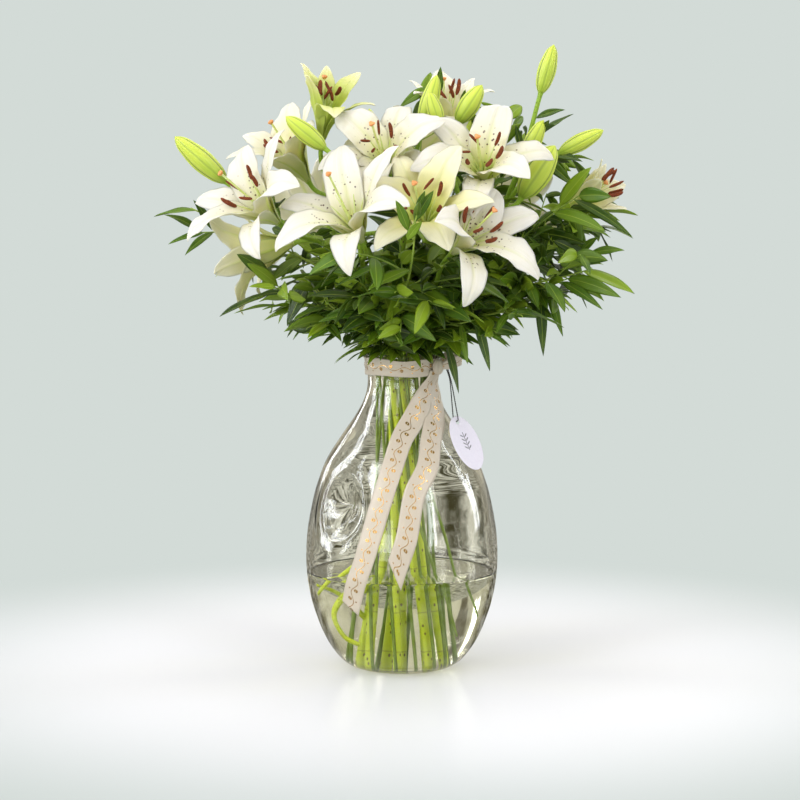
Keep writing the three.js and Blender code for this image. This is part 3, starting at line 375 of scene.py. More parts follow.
class Piece:
    """Closed bodies made of grids of points, in millimetres, that become one mesh object."""

    def __init__(self):
        self.parts = []
        self.count = 0

    def body(self, grids, material=0, tone=0.0, back=0.0):
        """Adds one closed body. Each grid is (points, across, along), with rows of points, and its two UV
        values; rows that meet in one point are poles. The whole body is turned outward by the sign of its
        volume, the sum of each quad's triangle products."""
        pieces, volume = [], 0.0
        backs = back if isinstance(back, (list, tuple)) else [back] * len(grids)
        for (points, across, rise), side in zip(grids, backs):
            rows, columns = points.shape[:2]
            n = np.arange(rows * columns).reshape(rows, columns)
            quads = np.stack([n[:-1, :-1], n[:-1, 1:], n[1:, 1:], n[1:, :-1]], axis=-1).reshape(-1, 4)
            flat = points.reshape(-1, 3)
            a, b, c, d = (flat[quads[:, k]] for k in range(4))
            volume += (a * np.cross(b, c)).sum() + (a * np.cross(c, d)).sum()
            uv = np.stack(np.broadcast_arrays(across, rise), axis=-1).reshape(-1, 2)
            pieces.append((flat, quads, uv, side))
        for flat, quads, uv, side in pieces:
            quads = quads if volume > 0 else quads[:, ::-1]
            self.parts.append((flat, quads + self.count, uv[quads].reshape(-1, 4, 2), material, tone, side))
            self.count += len(flat)

    def make(self, name, materials):
        """Welds points that coincide, drops the corners that a pole makes double, and makes the object."""
        points = np.concatenate([p[0] for p in self.parts])
        quads = np.concatenate([p[1] for p in self.parts])
        uvs = np.concatenate([p[2] for p in self.parts])
        slots = np.concatenate([np.full(len(p[1]), p[3]) for p in self.parts])
        tones = np.concatenate([np.full(len(p[0]), p[4], float) for p in self.parts])
        sides = np.concatenate([np.full(len(p[0]), p[5], float) for p in self.parts])
        _, first, where = np.unique(np.round(points, 4), axis=0, return_index=True, return_inverse=True)
        corners = where.reshape(-1)[quads]
        kept = corners != np.roll(corners, -1, axis=1)
        whole = kept.sum(axis=1) >= 3
        corners, kept, uvs, slots = corners[whole], kept[whole], uvs[whole], slots[whole]
        totals = kept.sum(axis=1)
        mesh = bpy.data.meshes.new(name)
        mesh.vertices.add(len(first))
        mesh.vertices.foreach_set("co", (points[first] * MM).astype(np.float32).ravel())
        mesh.loops.add(int(totals.sum()))
        mesh.loops.foreach_set("vertex_index", corners[kept].astype(np.int32))
        mesh.polygons.add(len(totals))
        starts = np.concatenate([[0], np.cumsum(totals)[:-1]]).astype(np.int32)
        mesh.polygons.foreach_set("loop_start", starts)
        mesh.update(calc_edges=True)
        mesh.polygons.foreach_set("material_index", slots.astype(np.int32))
        mesh.polygons.foreach_set("use_smooth", np.ones(len(totals), bool))
        layer = mesh.uv_layers.new(name="surface")
        layer.uv.foreach_set("vector", uvs[kept].astype(np.float32).ravel())
        for label, values in (("tone", tones), ("side", sides)):
            numbers = mesh.attributes.new(label, "FLOAT", "POINT").data
            numbers.foreach_set("value", values[first].astype(np.float32))
        for material in materials:
            mesh.materials.append(material)
        mesh.validate()
        made = bpy.data.objects.new(name, mesh)
        bpy.context.scene.collection.objects.link(made)
        return made


def finish_piece(piece, name, materials, nodes):
    """Makes a piece, which then rides on the one body and stands for its nodes of the source."""
    made = piece.make(name, materials)
    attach(made, "root")
    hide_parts(*nodes)
    return made


def ways_of(path):
    """A line's direction at each point, from its two neighbours."""
    ends = np.vstack([path[:1], path, path[-1:]])
    return unit(ends[2:] - ends[:-2])


def tube(path, radii, sides=10, section=None, reference=None, flat_ends=(0.0, 0.0)):
    """A round bar: at each point of the path, a ring of that radius, times the section's share at each
    angle, across the way it goes; both ends are drawn in to a pole, that far past the end."""
    path = np.asarray(path, float)
    radii = np.broadcast_to(np.asarray(radii, float), (len(path),))
    ways = ways_of(path)
    if reference is None:
        reference = np.eye(3)[np.argmin(np.abs(ways).sum(axis=0))]
    across = unit(reference - ways * (ways @ reference)[:, None])
    other = np.cross(ways, across)
    turn = np.linspace(0, 2 * np.pi, sides + 1)
    share = np.ones(sides + 1) if section is None else section(turn)
    spokes = across[:, None] * np.cos(turn)[None, :, None] + other[:, None] * np.sin(turn)[None, :, None]
    grid = path[:, None] + spokes * (radii[:, None] * share)[:, :, None]
    grid[:, -1] = grid[:, 0]
    start = np.broadcast_to(path[0] - ways[0] * flat_ends[0], grid[:1].shape)
    end = np.broadcast_to(path[-1] + ways[-1] * flat_ends[1], grid[:1].shape)
    grid = np.concatenate([start, grid, end])
    rise = np.concatenate([[0], np.linspace(0, 1, len(path)), [1]])
    size = grid.shape[:2]
    return grid, np.broadcast_to(turn / (2 * np.pi), size), np.broadcast_to(rise[:, None], size)


def blade(rib, across, up, half, rise, thick, wave=0.0, groove=0.0, columns=13, root=0.0):
    """A thin leaf or tepal: the point at a share t of the half width is rib + across t half
    + up (rise |t|^1.6 + wave), its front and back stand thick sqrt(1 - t^2) before and behind it, and a
    groove follows the rib. It closes to a point where the half width is nothing, and at its root."""
    t = np.linspace(-1, 1, columns)
    t = np.sign(t) * np.abs(t) ** 1.2
    x = half[:, None] * t
    fold = np.abs(t) ** 1.6 * rise[:, None] + wave
    dip = -groove * np.exp(-(x / 1.7) ** 2)
    middle = rib[:, None] + across[:, None] * x[:, :, None] + up[:, None] * (fold + dip)[:, :, None]
    body = np.sqrt(np.clip(1 - t * t, 0, 1)) * np.minimum(thick, half[:, None] * 0.5)
    front = middle + up[:, None] * body[:, :, None]
    behind = middle - up[:, None] * body[:, :, None]
    if half[0] > 0:
        pole = np.broadcast_to(rib[0] - unit(rib[1] - rib[0]) * root, front[:1].shape)
        front, behind = np.concatenate([pole, front]), np.concatenate([pole, behind])
    v = np.linspace(0, 1, len(front))[:, None]
    u = np.broadcast_to((t + 1) / 2, front.shape[:2])
    return [(front, u, np.broadcast_to(v, front.shape[:2])),
            (behind[:, ::-1], u[:, ::-1], np.broadcast_to(v, front.shape[:2]))]


def cad_points(node):
    """The points of a node of the source, in millimetres."""
    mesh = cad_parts[node].data
    co = np.empty(len(mesh.vertices) * 3, np.float32)
    mesh.vertices.foreach_get("co", co)
    return co.reshape(-1, 3).astype(float) / MM


def gaps_to(points, marks):
    """How far each mark is from the nearest of the points."""
    marks = np.asarray(marks, float)
    return np.linalg.norm(marks[..., None, :] - points, axis=-1).min(axis=-1)


class Socket:
    """One output of a material's node. Arithmetic on it adds Math nodes, so a formula reads as written."""

    def __init__(self, paint, output):
        self.paint, self.output = paint, output

    def math(self, operation, *others):
        """The result of a Math node on this output and others."""
        return self.paint.node("Math", {"operation": operation}, dict(enumerate((self, *others))))

    def __add__(self, other):
        return self.math("ADD", other)

    def __sub__(self, other):
        return self.math("SUBTRACT", other)

    def __rsub__(self, other):
        return self.paint.node("Math", {"operation": "SUBTRACT"}, {0: other, 1: self})

    def __mul__(self, other):
        return self.math("MULTIPLY", other)

    def __truediv__(self, other):
        return self.math("DIVIDE", other)

    __radd__, __rmul__ = __add__, __mul__


class Paint:
    """The nodes of one procedural material."""

    def __init__(self, name):
        self.material = bpy.data.materials.new(name)
        self.material.use_nodes = True
        self.tree = self.material.node_tree
        self.tree.nodes.clear()

    @classmethod
    def of_tree(cls, tree):
        """The same, for the nodes of a world."""
        made = cls.__new__(cls)
        made.tree = tree
        made.tree.nodes.clear()
        return made

    def node(self, kind, settings=None, values=None, output=0):
        """Adds a node with its settings, then its sockets' values or links, and returns one output."""
        made = self.tree.nodes.new("ShaderNode" + kind)
        for name, value in (settings or {}).items():
            setattr(made, name, value)
        for key, value in (values or {}).items():
            if isinstance(value, Socket):
                self.tree.links.new(value.output, made.inputs[key])
            else:
                made.inputs[key].default_value = value
        return Socket(self, made.outputs[output])

    def place(self):
        """Where a point is on the object, in metres."""
        return self.node("TexCoord", output="Object")

    def surface(self):
        """The surface's own coordinates: across it and along it, each from 0 to 1."""
        return self.split(self.node("UVMap", {"uv_map": "surface"}))[:2]

    def split(self, vector):
        """The three numbers of a vector."""
        made = self.node("SeparateXYZ", None, {0: vector}).output.node
        return [Socket(self, made.outputs[i]) for i in range(3)]

    def attribute(self, name):
        """A number that the mesh carries at each point."""
        return self.node("Attribute", {"attribute_name": name}, output="Fac")

    def joined(self, x, y, z=0.0):
        """The vector of three numbers."""
        return self.node("CombineXYZ", None, {0: x, 1: y, 2: z})

    def scaled(self, vector, scale):
        """The vector times a number for each axis."""
        return self.node("Mapping", None, {"Vector": vector, "Scale": scale})

    def noise(self, vector, scale, detail=3.0):
        """Soft patches from 0 to 1."""
        return self.node("TexNoise", None, {"Vector": vector, "Scale": scale, "Detail": detail})

    def step(self, value, low, high):
        """0 below low and 1 above high, by a smooth step; low may be the larger."""
        return self.node("MapRange", {"interpolation_type": "SMOOTHSTEP"}, {0: value, 1: low, 2: high})

    def mix(self, factor, a, b):
        """The colour a where the factor is 0, b where it is 1."""
        return self.node("Mix", {"data_type": "RGBA"}, {0: factor, 6: a, 7: b}, output=2)

    def bump(self, height, distance, strength=1.0):
        """The normal of a surface that is raised by a height, a distance in metres at 1."""
        return self.node("Bump", None, {"Strength": strength, "Distance": distance, "Height": height})

    def coated(self, **values):
        """Ends the material in a Principled shader with these values or links."""
        names = {key.replace("_", " ").title().replace("Ior", "IOR"): value for key, value in values.items()}
        self.end(self.node("BsdfPrincipled", None, names))
        return self.material

    def end(self, shader, kind="Material"):
        """Joins a shader to the output of the material or the world."""
        output = self.tree.nodes.new("ShaderNodeOutput" + kind)
        self.tree.links.new(shader.output, output.inputs["Surface"])


def rgb(code):
    """A colour written as six hexadecimal digits, in linear light."""
    parts = [int(code[i:i + 2], 16) / 255 for i in (0, 2, 4)]
    return (*(c / 12.92 if c <= 0.04045 else ((c + 0.055) / 1.055) ** 2.4 for c in parts), 1.0)


def petal_paint():
    """White tepals: yellow-green in the throat and down the rib, parallel veins, dark dots near the base."""
    p = Paint("lily_petal")
    across, rise = p.surface()
    place, tone, side = p.place(), p.attribute("tone"), p.attribute("side")
    off_rib = (across - 0.5).math("ABSOLUTE") * 2
    cloud = p.noise(place, 28.0, 3.0)
    white = p.mix(cloud, rgb("E6E0D5"), rgb("DBD4C7"))
    white = p.mix(p.step(rise, 0.7, 0.1) * (tone * 0.5 + 0.45), white, rgb("EDE798"))
    young = p.step(tone, 0.0, 1.1)
    full = young * 0.5
    cream = p.mix(young * (full + (1 - full) * p.step(rise, 0.9, 0.3)), white, rgb("F0E888"))
    cream = p.mix(p.step(tone, 0.8, 1.0) * p.step(rise, 1.0, 0.45) * 0.85, cream, rgb("9FB72E"))
    throat = p.step(rise + (cloud - 0.5) * 0.2 - tone * 0.22, 0.34, 0.02)
    rib = p.step(off_rib, 0.2, 0.02) * p.step(rise, 0.95, 0.25)
    # painted light: on the backs (side) the throat's green is lessened, so the shaded backs read paler, as
    # if lit through the tepal; the greener rib on the backs is their own colour
    green = (throat * (0.75 - side * 0.35) + rib * (0.28 + side * 0.25) + side * 0.03).math("MINIMUM", 1.0)
    base = p.mix(green, cream, rgb("C9D860"))
    deep = p.mix(throat * throat * (0.7 - side * 0.5), base, rgb("9DB53A"))
    grain = p.joined(across * 30.0, rise * 2.0)
    veins = p.noise(grain, 1.0, 2.0)
    veined = p.mix(p.step(veins, 0.45, 0.75) * 0.22, deep, rgb("C9C4A2"))
    # painted shade: a thin darker line along each tepal's rim, a shadow at the edge painted into the colour
    edge = p.mix(p.step(off_rib, 0.965, 1.0) * 0.25, veined, rgb("CFC79E"))
    cells = p.node("TexVoronoi", {"feature": "F1"}, {"Vector": place, "Scale": 215.0, "Randomness": 1.0})
    band = p.step(rise, 0.1, 0.16) * p.step(rise, 0.58, 0.42) * p.step(off_rib, 0.78, 0.55)
    dots = p.step(cells, 0.25, 0.19) * band * (1 - side) * p.step(tone, 0.5, 0.2)
    spotted = p.mix(dots * 0.9, edge, rgb("54302C"))
    height = veins * 0.5 + dots * 1.5 + p.noise(place, 900.0, 2.0) * 0.15
    return p.coated(base_color=spotted, roughness=0.42 + cloud * 0.16, subsurface_weight=0.45,
                    subsurface_radius=(1.0, 0.9, 0.6), subsurface_scale=0.004, specular_ior_level=0.4,
                    normal=p.bump(height, 0.00035, 0.6))


def green_paint(name, light, dark, in_vase_colour, scar):
    """Stems and stalks: fine streaks along them, soft patches and scars where leaves were taken off. Down in
    the vase they are mixed towards the colour given for it, a darker green for the ruscus twigs; the lily
    stalks' lighter yellow there is partly the stripped stems' own paler colour and partly painted light that
    makes up for the shade inside the glass."""
    p = Paint(name)
    place = p.place()
    patches = p.noise(place, 24.0, 4.0)
    streaks = p.noise(p.scaled(place, (900.0, 900.0, 40.0)), 1.0, 2.0)
    height_in_vase = p.split(place)[2]
    leafy = p.mix(p.step(patches * 0.7 + streaks * 0.3, 0.3, 0.7), rgb(dark), rgb(light))
    # painted light: below the neck the lily stalks are mixed to a lighter yellow, partly their own stripped
    # colour and partly light that the shade inside the glass takes away
    green = p.mix(p.step(height_in_vase, 0.36, 0.28) * 0.85, leafy, rgb(in_vase_colour))
    across, rise = p.surface()
    cells = p.node("TexVoronoi", {"feature": "F1", "voronoi_dimensions": "2D"},
                   {"Vector": p.joined(across * 3.0, rise * 34.0), "Scale": 1.0, "Randomness": 1.0})
    marks = p.step(cells, 0.13, 0.07) * scar
    joint = p.step(((rise * 13.0).math("FRACT") - 0.5).math("ABSOLUTE"), 0.02, 0.008) * scar
    marked = p.mix(marks * 0.85, p.mix(joint * 0.5, green, rgb("8A8A2A")), rgb("5B3F1A"))
    height = streaks * 0.3 + marks + joint
    return p.coated(base_color=marked, roughness=0.38 + patches * 0.2, subsurface_weight=0.08,
                    subsurface_radius=(0.5, 1.0, 0.2), subsurface_scale=0.002,
                    normal=p.bump(height, 0.0004, 0.5))


def bud_paint():
    """Closed buds: lime green, yellower towards the tip, with a darker line down each seam."""
    p = Paint("lily_bud")
    across, rise = p.surface()
    place = p.place()
    seam = ((across * 3.0).math("FRACT") - 0.5).math("ABSOLUTE") * 2
    line = p.step(seam, 0.84, 0.98)
    rib = p.step(seam, 0.14, 0.02)
    cloud = p.noise(place, 40.0, 3.0)
    body = p.mix(p.step(rise + (cloud - 0.5) * 0.4, 0.0, 0.8), rgb("8FB026"), rgb("C6D63C"))
    flank = p.mix(p.step(seam, 0.3, 0.8) * p.step(seam, 1.0, 0.8) * 0.35, body, rgb("DCE36A"))
    ribbed = p.mix(rib * 0.7, flank, rgb("7C9A1C"))
    lined = p.mix(line * 0.9, ribbed, rgb("56760F"))
    grain = p.noise(p.joined(across * 60.0, rise * 2.5), 1.0, 2.0)
    veined = p.mix(grain * 0.25, lined, rgb("E6EC86"))
    return p.coated(base_color=veined, roughness=0.36 + cloud * 0.15, subsurface_weight=0.15,
                    subsurface_radius=(0.8, 1.0, 0.3), subsurface_scale=0.003,
                    normal=p.bump(grain * 0.5 - line, 0.0005, 0.6))


def leaf_paint():
    """Glossy ruscus leaves: each its own green, a pale rib, fine parallel veins, and a duller back."""
    p = Paint("ruscus_leaf")
    across, rise = p.surface()
    place, tone, side = p.place(), p.attribute("tone"), p.attribute("side")
    off_rib = (across - 0.5).math("ABSOLUTE") * 2
    cloud = p.noise(place, 45.0, 4.0)
    dark = p.mix(p.step(tone, 0.0, 0.5), rgb("1E3905"), rgb("466A0B"))
    green = p.mix(p.step(tone, 0.4, 1.0), dark, rgb("8AA51E"))
    mottled = p.mix(p.step(cloud, 0.4, 0.75) * 0.3, green, rgb("748C1C"))
    backed = p.mix(side * 0.3, mottled, rgb("6C8228"))
    veins = p.noise(p.joined(across * 42.0, rise * 1.5), 1.0, 1.0)
    veined = p.mix(p.step(veins, 0.5, 0.72) * 0.25, backed, rgb("849C30"))
    rib = p.step(off_rib, 0.07, 0.015)
    ribbed = p.mix(rib * 0.6, veined, rgb("A3B640"))
    edge = p.mix(p.step(off_rib, 0.93, 1.0) * 0.3, ribbed, rgb("869C34"))
    height = veins * 0.4 - rib * 0.8 + p.noise(place, 300.0, 2.0) * 0.3
    return p.coated(base_color=edge, roughness=0.34 + cloud * 0.16 + side * 0.14, coat_weight=0.08,
                    coat_roughness=0.25, specular_ior_level=0.4, subsurface_weight=0.06,
                    subsurface_radius=(0.4, 1.0, 0.15), subsurface_scale=0.001,
                    normal=p.bump(height, 0.0003, 0.5))


def plain_paint(name, light, dark, scale, roughness, depth=0.0003, **more):
    """A fleshy or dusty finish: two colours in fine patches, with a fine bump."""
    p = Paint(name)
    place = p.place()
    patches = p.noise(place, scale, 4.0)
    return p.coated(base_color=p.mix(p.step(patches, 0.3, 0.7), rgb(dark), rgb(light)),
                    roughness=roughness + (patches - 0.5) * 0.2,
                    normal=p.bump(p.noise(place, scale * 4, 2.0), depth, 0.7), **more)


def clear_paint(name, colour, edge, ior, wave_scale, wave_depth):
    """Clear glass or water, very gently uneven and painted a darker brown where it is seen edge on, a
    painted shade for the dark rims that the glass shows. It lets the lamps' light through to what is in it."""
    p = Paint(name)
    uneven = p.noise(p.place(), wave_scale, 1.0)
    facing = p.node("LayerWeight", None, {"Blend": 0.5}, output="Facing")
    shader = p.node("BsdfPrincipled", None, {
        # painted shade: the base colour turns to the second colour where the surface is seen edge on,
        # standing in for the glass's dark rims
        "Base Color": p.mix(p.step(facing, 0.5, 0.95), rgb(colour), rgb(edge)), "Roughness": 0.0, "IOR": ior,
        "Transmission Weight": 1.0, "Normal": p.bump(uneven, wave_depth, 1.0)})
    passing = p.node("BsdfTransparent", None, {"Color": rgb(colour)})
    shadow = p.node("LightPath", output="Is Shadow Ray")
    p.end(p.node("MixShader", None, {0: shadow, 1: shader, 2: passing}))
    return p.material


def ribbon_paint():
    """Ivory satin: a fine weave, and down the middle a scroll printed in gold, a winding stem with a leaf
    in each bend and dots between."""
    p = Paint("ribbon_satin")
    across, rise = p.surface()
    half = float(RIBBON["half"])
    weave = p.node("TexWave", {"wave_type": "BANDS", "bands_direction": "X"},
                   {"Vector": p.joined(rise, across), "Scale": 420.0, "Distortion": 0.0})
    silk = p.mix(p.noise(p.joined(rise * 3.0, across * 60.0), 6.0, 3.0), rgb("D6CABA"), rgb("BDAE9B"))
    x = (across - 0.5) * (2 * half)
    y = rise * 1000.0
    turn = (y * (math.pi / half)).math("SINE")
    stem = p.step((x - turn * 2.6).math("ABSOLUTE"), 0.55, 0.3)
    beat = (y / half + 0.25).math("FRACT") - 0.5
    swing = p.step(turn, -0.05, 0.05) * 2 - 1
    leaf_x = (x + swing * 2.4) * 0.9
    leaf = p.step(leaf_x * leaf_x / 4.6 + beat * beat * 30.0, 1.0, 0.8)
    vein = p.step(leaf_x.math("ABSOLUTE"), 0.12, 0.25)
    dot_x = x - swing * 5.2
    dot = p.step(dot_x * dot_x + beat * beat * (half * half), 0.85, 0.5)
    gold = stem.math("MAXIMUM", leaf * vein).math("MAXIMUM", dot) * p.attribute("tone")
    base = p.mix(gold * 0.85, silk, rgb("CFA04A"))
    return p.coated(base_color=base, roughness=0.36 - gold * 0.1, metallic=gold * 0.85, coat_weight=0.25,
                    coat_roughness=0.3, normal=p.bump(weave * 0.5 + gold * 0.8, 0.00012, 0.5))


def card_paint():
    """The tag's pale lilac card, with a small grey leaf sprig printed near its middle."""
    p = Paint("tag_card")
    across, rise = p.surface()
    fibres = p.noise(p.place(), 500.0, 4.0)
    card = p.mix(fibres, rgb("EDE8F2"), rgb("E1DAE9"))
    x = (across - 0.5) * (2 * TAG["wide"])
    y = (rise - 0.5) * (2 * TAG["long"]) - 2.0
    stalk = p.step(x.math("ABSOLUTE"), 0.6, 0.35) * p.step(y.math("ABSOLUTE"), 10.5, 10.0)
    beat = ((y + 9.0) / 4.4).math("FRACT") - 0.5
    wing = x.math("ABSOLUTE") - 2.7
    slant = beat - wing * 0.16
    leaves = p.step(wing * wing / 5.0 + slant * slant * 22.0, 1.0, 0.75)
    leaves = leaves * p.step(y.math("ABSOLUTE"), 9.0, 8.6)
    ink = stalk.math("MAXIMUM", leaves) * p.attribute("tone")
    return p.coated(base_color=p.mix(ink * 0.8, card, rgb("45434C")), roughness=0.62 + fibres * 0.15,
                    normal=p.bump(fibres, 0.0001, 0.5))


PETAL = petal_paint()
# D9E838, the lily stalks' colour down in the vase, is partly painted light against the shade inside the
# glass
LILY_GREEN = green_paint("lily_stalk", "A9C83C", "7FA52B", "D9E838", 1.0)
TWIG_GREEN = green_paint("ruscus_twig", "A9BE4C", "6C8A2E", "6B8426", 0.5)
BUD_GREEN = bud_paint()
LEAF_GREEN = leaf_paint()
ANTHER = plain_paint("lily_anther", "96461C", "58220C", 900.0, 0.85)
FILAMENT = plain_paint("lily_filament", "D9E39A", "C2D070", 120.0, 0.45, subsurface_weight=0.15)
STIGMA = plain_paint("lily_stigma", "EBA560", "D98A48", 260.0, 0.5, coat_weight=0.3)
# The second colour of each is painted shade where it is seen edge on: dark brown for the glass, barely
# darker for the water
GLASS = clear_paint("vase_glass", "F8F7F0", "8A7345", 1.5, 7.0, 0.0007)
WATER = clear_paint("vase_water", "F9FAEF", "F4F4E2", 1.333, 14.0, 0.0001)
SATIN = ribbon_paint()
CARD = card_paint()
CORD = plain_paint("tag_cord", "3A3936", "1E1D1B", 700.0, 0.75)


def outside(z):
    """The glass's outside radius at a height, straight between the outline's points, as in the source."""
    return np.interp(z, OUTLINE[:, 0], OUTLINE[:, 1])


def dent(azimuth, z):
    """How far the dent presses the glass in: depth (1 - away)^1.3 inside an ellipse of bearing and height,
    with rings height exp(-((away - at) / wide)^2) where it begins."""
    turn = (azimuth - DENT["azimuth"] + 540) % 360 - 180
    away = np.hypot(turn / DENT["half_angle"], (z - DENT["height"]) / DENT["half_height"])
    ring = sum(height * np.exp(-((away - at) / wide) ** 2) for at, height, wide in DENT_RINGS)
    return DENT["depth"] * np.clip(1 - away, 0, 1) ** 1.3 + ring


def turned(profile, sides):
    """A profile of [height, radius] points turned round the axis, with the dent taken off each radius."""
    azimuth = np.linspace(0, 360, sides + 1)
    z = profile[:, 0][:, None] + 0 * azimuth
    radius = profile[:, 1][:, None] - dent(azimuth, z) * (profile[:, 1][:, None] > 1)
    grid = polar(azimuth, radius, z)
    grid[:, -1] = grid[:, 0]
    rise = np.linspace(0, 1, len(profile))[:, None]
    return grid, np.broadcast_to(azimuth / 360, grid.shape[:2]), np.broadcast_to(rise, grid.shape[:2])


def smooth_outline(points, count):
    """A rounded line of [height, radius] through the given points, evenly spaced."""
    flat = np.column_stack([points, np.zeros(len(points))])
    return spaced(catmull(flat, 40 * len(points)), count)[:, :2]


def inside_points():
    """The inside of the glass: its floor, then the outline less the wall, as in the source."""
    walls = [(z, r - WALL) for z, r in OUTLINE[::2] if 24 <= z < RIM_HEIGHT]
    return np.array([(FLOOR, FLOOR_RADIUS), (17, 62), *walls, (RIM_HEIGHT, OUTLINE[-1, 1] - WALL)])


def vase():
    """The glass: a hollow foot, the outside, a rounded lip and the inside down to its floor."""
    foot = np.array([(1.6, 0), (1.4, 20), (0.8, 34), (0.0, 41), (0.0, 45)])
    outer = smooth_outline(OUTLINE, VASE_GRID["outside"])
    middle = OUTLINE[-1, 1] - WALL / 2
    bend = np.linspace(0, np.pi, 10)[1:-1]
    lip = np.column_stack([RIM_HEIGHT + np.sin(bend) * 2.0, middle + np.cos(bend) * WALL / 2])
    inner = smooth_outline(inside_points(), VASE_GRID["inside"])[::-1]
    floor = np.array([(FLOOR - 0.3, 30), (FLOOR - 0.4, 12), (FLOOR - 0.4, 0)])
    made = Piece()
    made.body([turned(np.vstack([foot, outer, lip, inner, floor]), VASE_GRID["sides"])])
    return finish_piece(made, "vase_glass_body", [GLASS], ["vase"])


def water():
    """The water: the inside of the glass up to its level, a hair into the glass, as nothing lies between
    them, with a meniscus that climbs the glass."""
    inner = smooth_outline(inside_points(), WATER_GRID["rows"])
    wall = inner[inner[:, 0] < WATER_LEVEL]
    reach = float(np.interp(WATER_LEVEL + 1, inner[:, 0], inner[:, 1]))
    inset = np.array([0.0, 0.6, 1.6, 3.0, 5.0, 9.0, 16.0, 40.0, reach])
    climb = 1.8 * np.exp(-inset / 1.8)
    level = np.column_stack([WATER_LEVEL + climb, reach - inset])
    floor = np.array([(FLOOR - 0.55, 0), (FLOOR - 0.55, 12), (FLOOR - 0.45, 30)])
    profile = np.vstack([floor, wall, level])
    into_glass = 0.3
    profile[:-1, 1] += np.where(profile[:-1, 1] > 44, into_glass, 0.0)
    made = Piece()
    made.body([turned(profile, WATER_GRID["sides"])])
    return finish_piece(made, "water_body", [WATER], ["water"])


def standing(azimuth, ring, foot, twist):
    """A stem's foot on the floor, where it passes the neck, and the way from one to the other."""
    low = polar(azimuth + twist, foot, FLOOR + 2 * GAP)
    neck = polar(azimuth, ring, NECK_HEIGHT)
    return low, neck, unit(neck - low)


def placed_flower(index, spec):
    """A bloom's measures with its facing as a unit vector, its seed, and its base, down from its throat."""
    facing = unit(np.array(spec["facing"], float))
    base = np.array(spec["throat"], float) - facing * RECEPTACLE["throat"]
    return dict(spec, facing=facing, base=base, seed=index + 1)


FLOWERS = {name: placed_flower(index, spec) for index, (name, spec) in enumerate(BLOOMS.items())}


def bud_body(tip, base, radius):
    """A bud: three-sided in section, r = radius shape(s) (1.02 - 0.03 cos 3a - grooves), with a deep groove
    at each seam and a shallower one down the middle of each side."""
    rows = 34
    marks, sizes = [0, 0.06, 0.2, 0.5, 0.82, 0.94, 1], [0.3, 0.52, 0.82, 1, 0.7, 0.4, 0.12]
    shape = catmull(np.column_stack([marks, sizes, np.zeros(len(marks))]), rows)
    path = base + (tip - base) * shape[:, :1]

    def section(turn):
        """How wide the bud is at a turn round it, as a share."""
        seam = np.abs((turn * 3 / (2 * np.pi)) % 1 - 0.5) * 2
        grooves = 0.11 * np.exp(-((1 - seam) / 0.13) ** 2) + 0.06 * np.exp(-(seam / 0.1) ** 2)
        return 1.02 + 0.03 * np.cos(3 * turn + np.pi) - grooves

    return tube(path, radius * shape[:, 1], 60, section, flat_ends=(0.4, 1.2))


def lily_stem(index, name, azimuth, out, fork):
    """A stem from the vase's floor to its fork, the stalks of its flowers, and its buds."""
    foot, neck, way = standing(azimuth, LILY_STEM["ring"] * out, LILY_STEM["foot"] * out, LILY_STEM["twist"])
    fork = np.array(fork, float)
    rise = np.linalg.norm(fork - neck)
    ends = [(f["base"] - f["facing"] * GAP, f["facing"], STALK["socket"]) for f in FLOWERS.values()
            if f["stem"] == index]
    buds = [(np.array(tip, float), np.array(base, float), radius) for stem, tip, base, radius in BUDS
            if stem == index]
    ends += [(base, unit(tip - base), 0.35 * radius) for tip, base, radius in buds]
    lead = unit(np.mean([end for end, _, _ in ends], axis=0) - fork)
    path = np.vstack([foot + (neck - foot) * np.linspace(0, 1, 40)[:-1, None],
                      bezier(neck, neck + way * rise * 0.4, fork - lead * rise * 0.35, fork, 24)])
    reach = np.concatenate([[0], np.cumsum(np.linalg.norm(np.diff(path, axis=0), axis=1))])
    thick = LILY_STEM["radius"] - 1.0 * reach / reach[-1]
    nodes = 0.28 * np.exp(-(((reach + 17 * index) % 41 - 20) / 3.0) ** 2)
    plant = Piece()
    plant.body([tube(path, thick + nodes, 18, flat_ends=(0.2, 0.6))])
    for end, way, size in ends:
        far = np.linalg.norm(end - fork)
        under = end - way * STALK["neck"]
        bent = bezier(fork - lead * 4, fork + lead * far * 0.3, under - way * far * 0.35, under, 18)
        line = np.vstack([bent, under + (end - under) * np.linspace(0.2, 1, 5)[:, None]])
        swell = np.linspace(0, 1, len(line)) ** 9
        radii = STALK["radius"] + 0.3 * np.linspace(1, 0, len(line)) + (size - STALK["radius"]) * swell
        plant.body([tube(line, radii, 14, flat_ends=(0.2, 0.25))])
    for tip, base, radius in buds:
        plant.body([bud_body(tip, base - unit(tip - base), radius)], material=1)
    rows = 30
    for material, thick, through in SIDE_SHOOTS.get(name, []):
        line = catmull(np.array(through, float), rows)
        shoot = tube(line, np.linspace(thick, 0.6 * thick, rows), 12, flat_ends=(0.0, 0.4))
        plant.body([shoot], material=material)
    materials = [LILY_GREEN, BUD_GREEN, TWIG_GREEN]
    return finish_piece(plant, f"lily_stem_{name}_live", materials, [f"lily_stem_{name}"])


# A tepal's outline: its half width, as a share of the widest, at shares of its length
TEPAL_HALF = ([0, 0.1, 0.3, 0.54, 0.76, 0.9, 0.97, 1], [0.5, 0.66, 0.95, 1.1, 0.9, 0.5, 0.21, 0])
# The shares of its length that a tepal's cup is given at
CUP_AT = [0, 0.32, 0.6, 0.84, 1]
# The finished tepals are fuller near the throat than the source's, whose edges keep clear of each other, and
# a little longer, as their tips turn back
FULLER = {"slope": 0.82, "start": 5.5, "longer": 0.06}


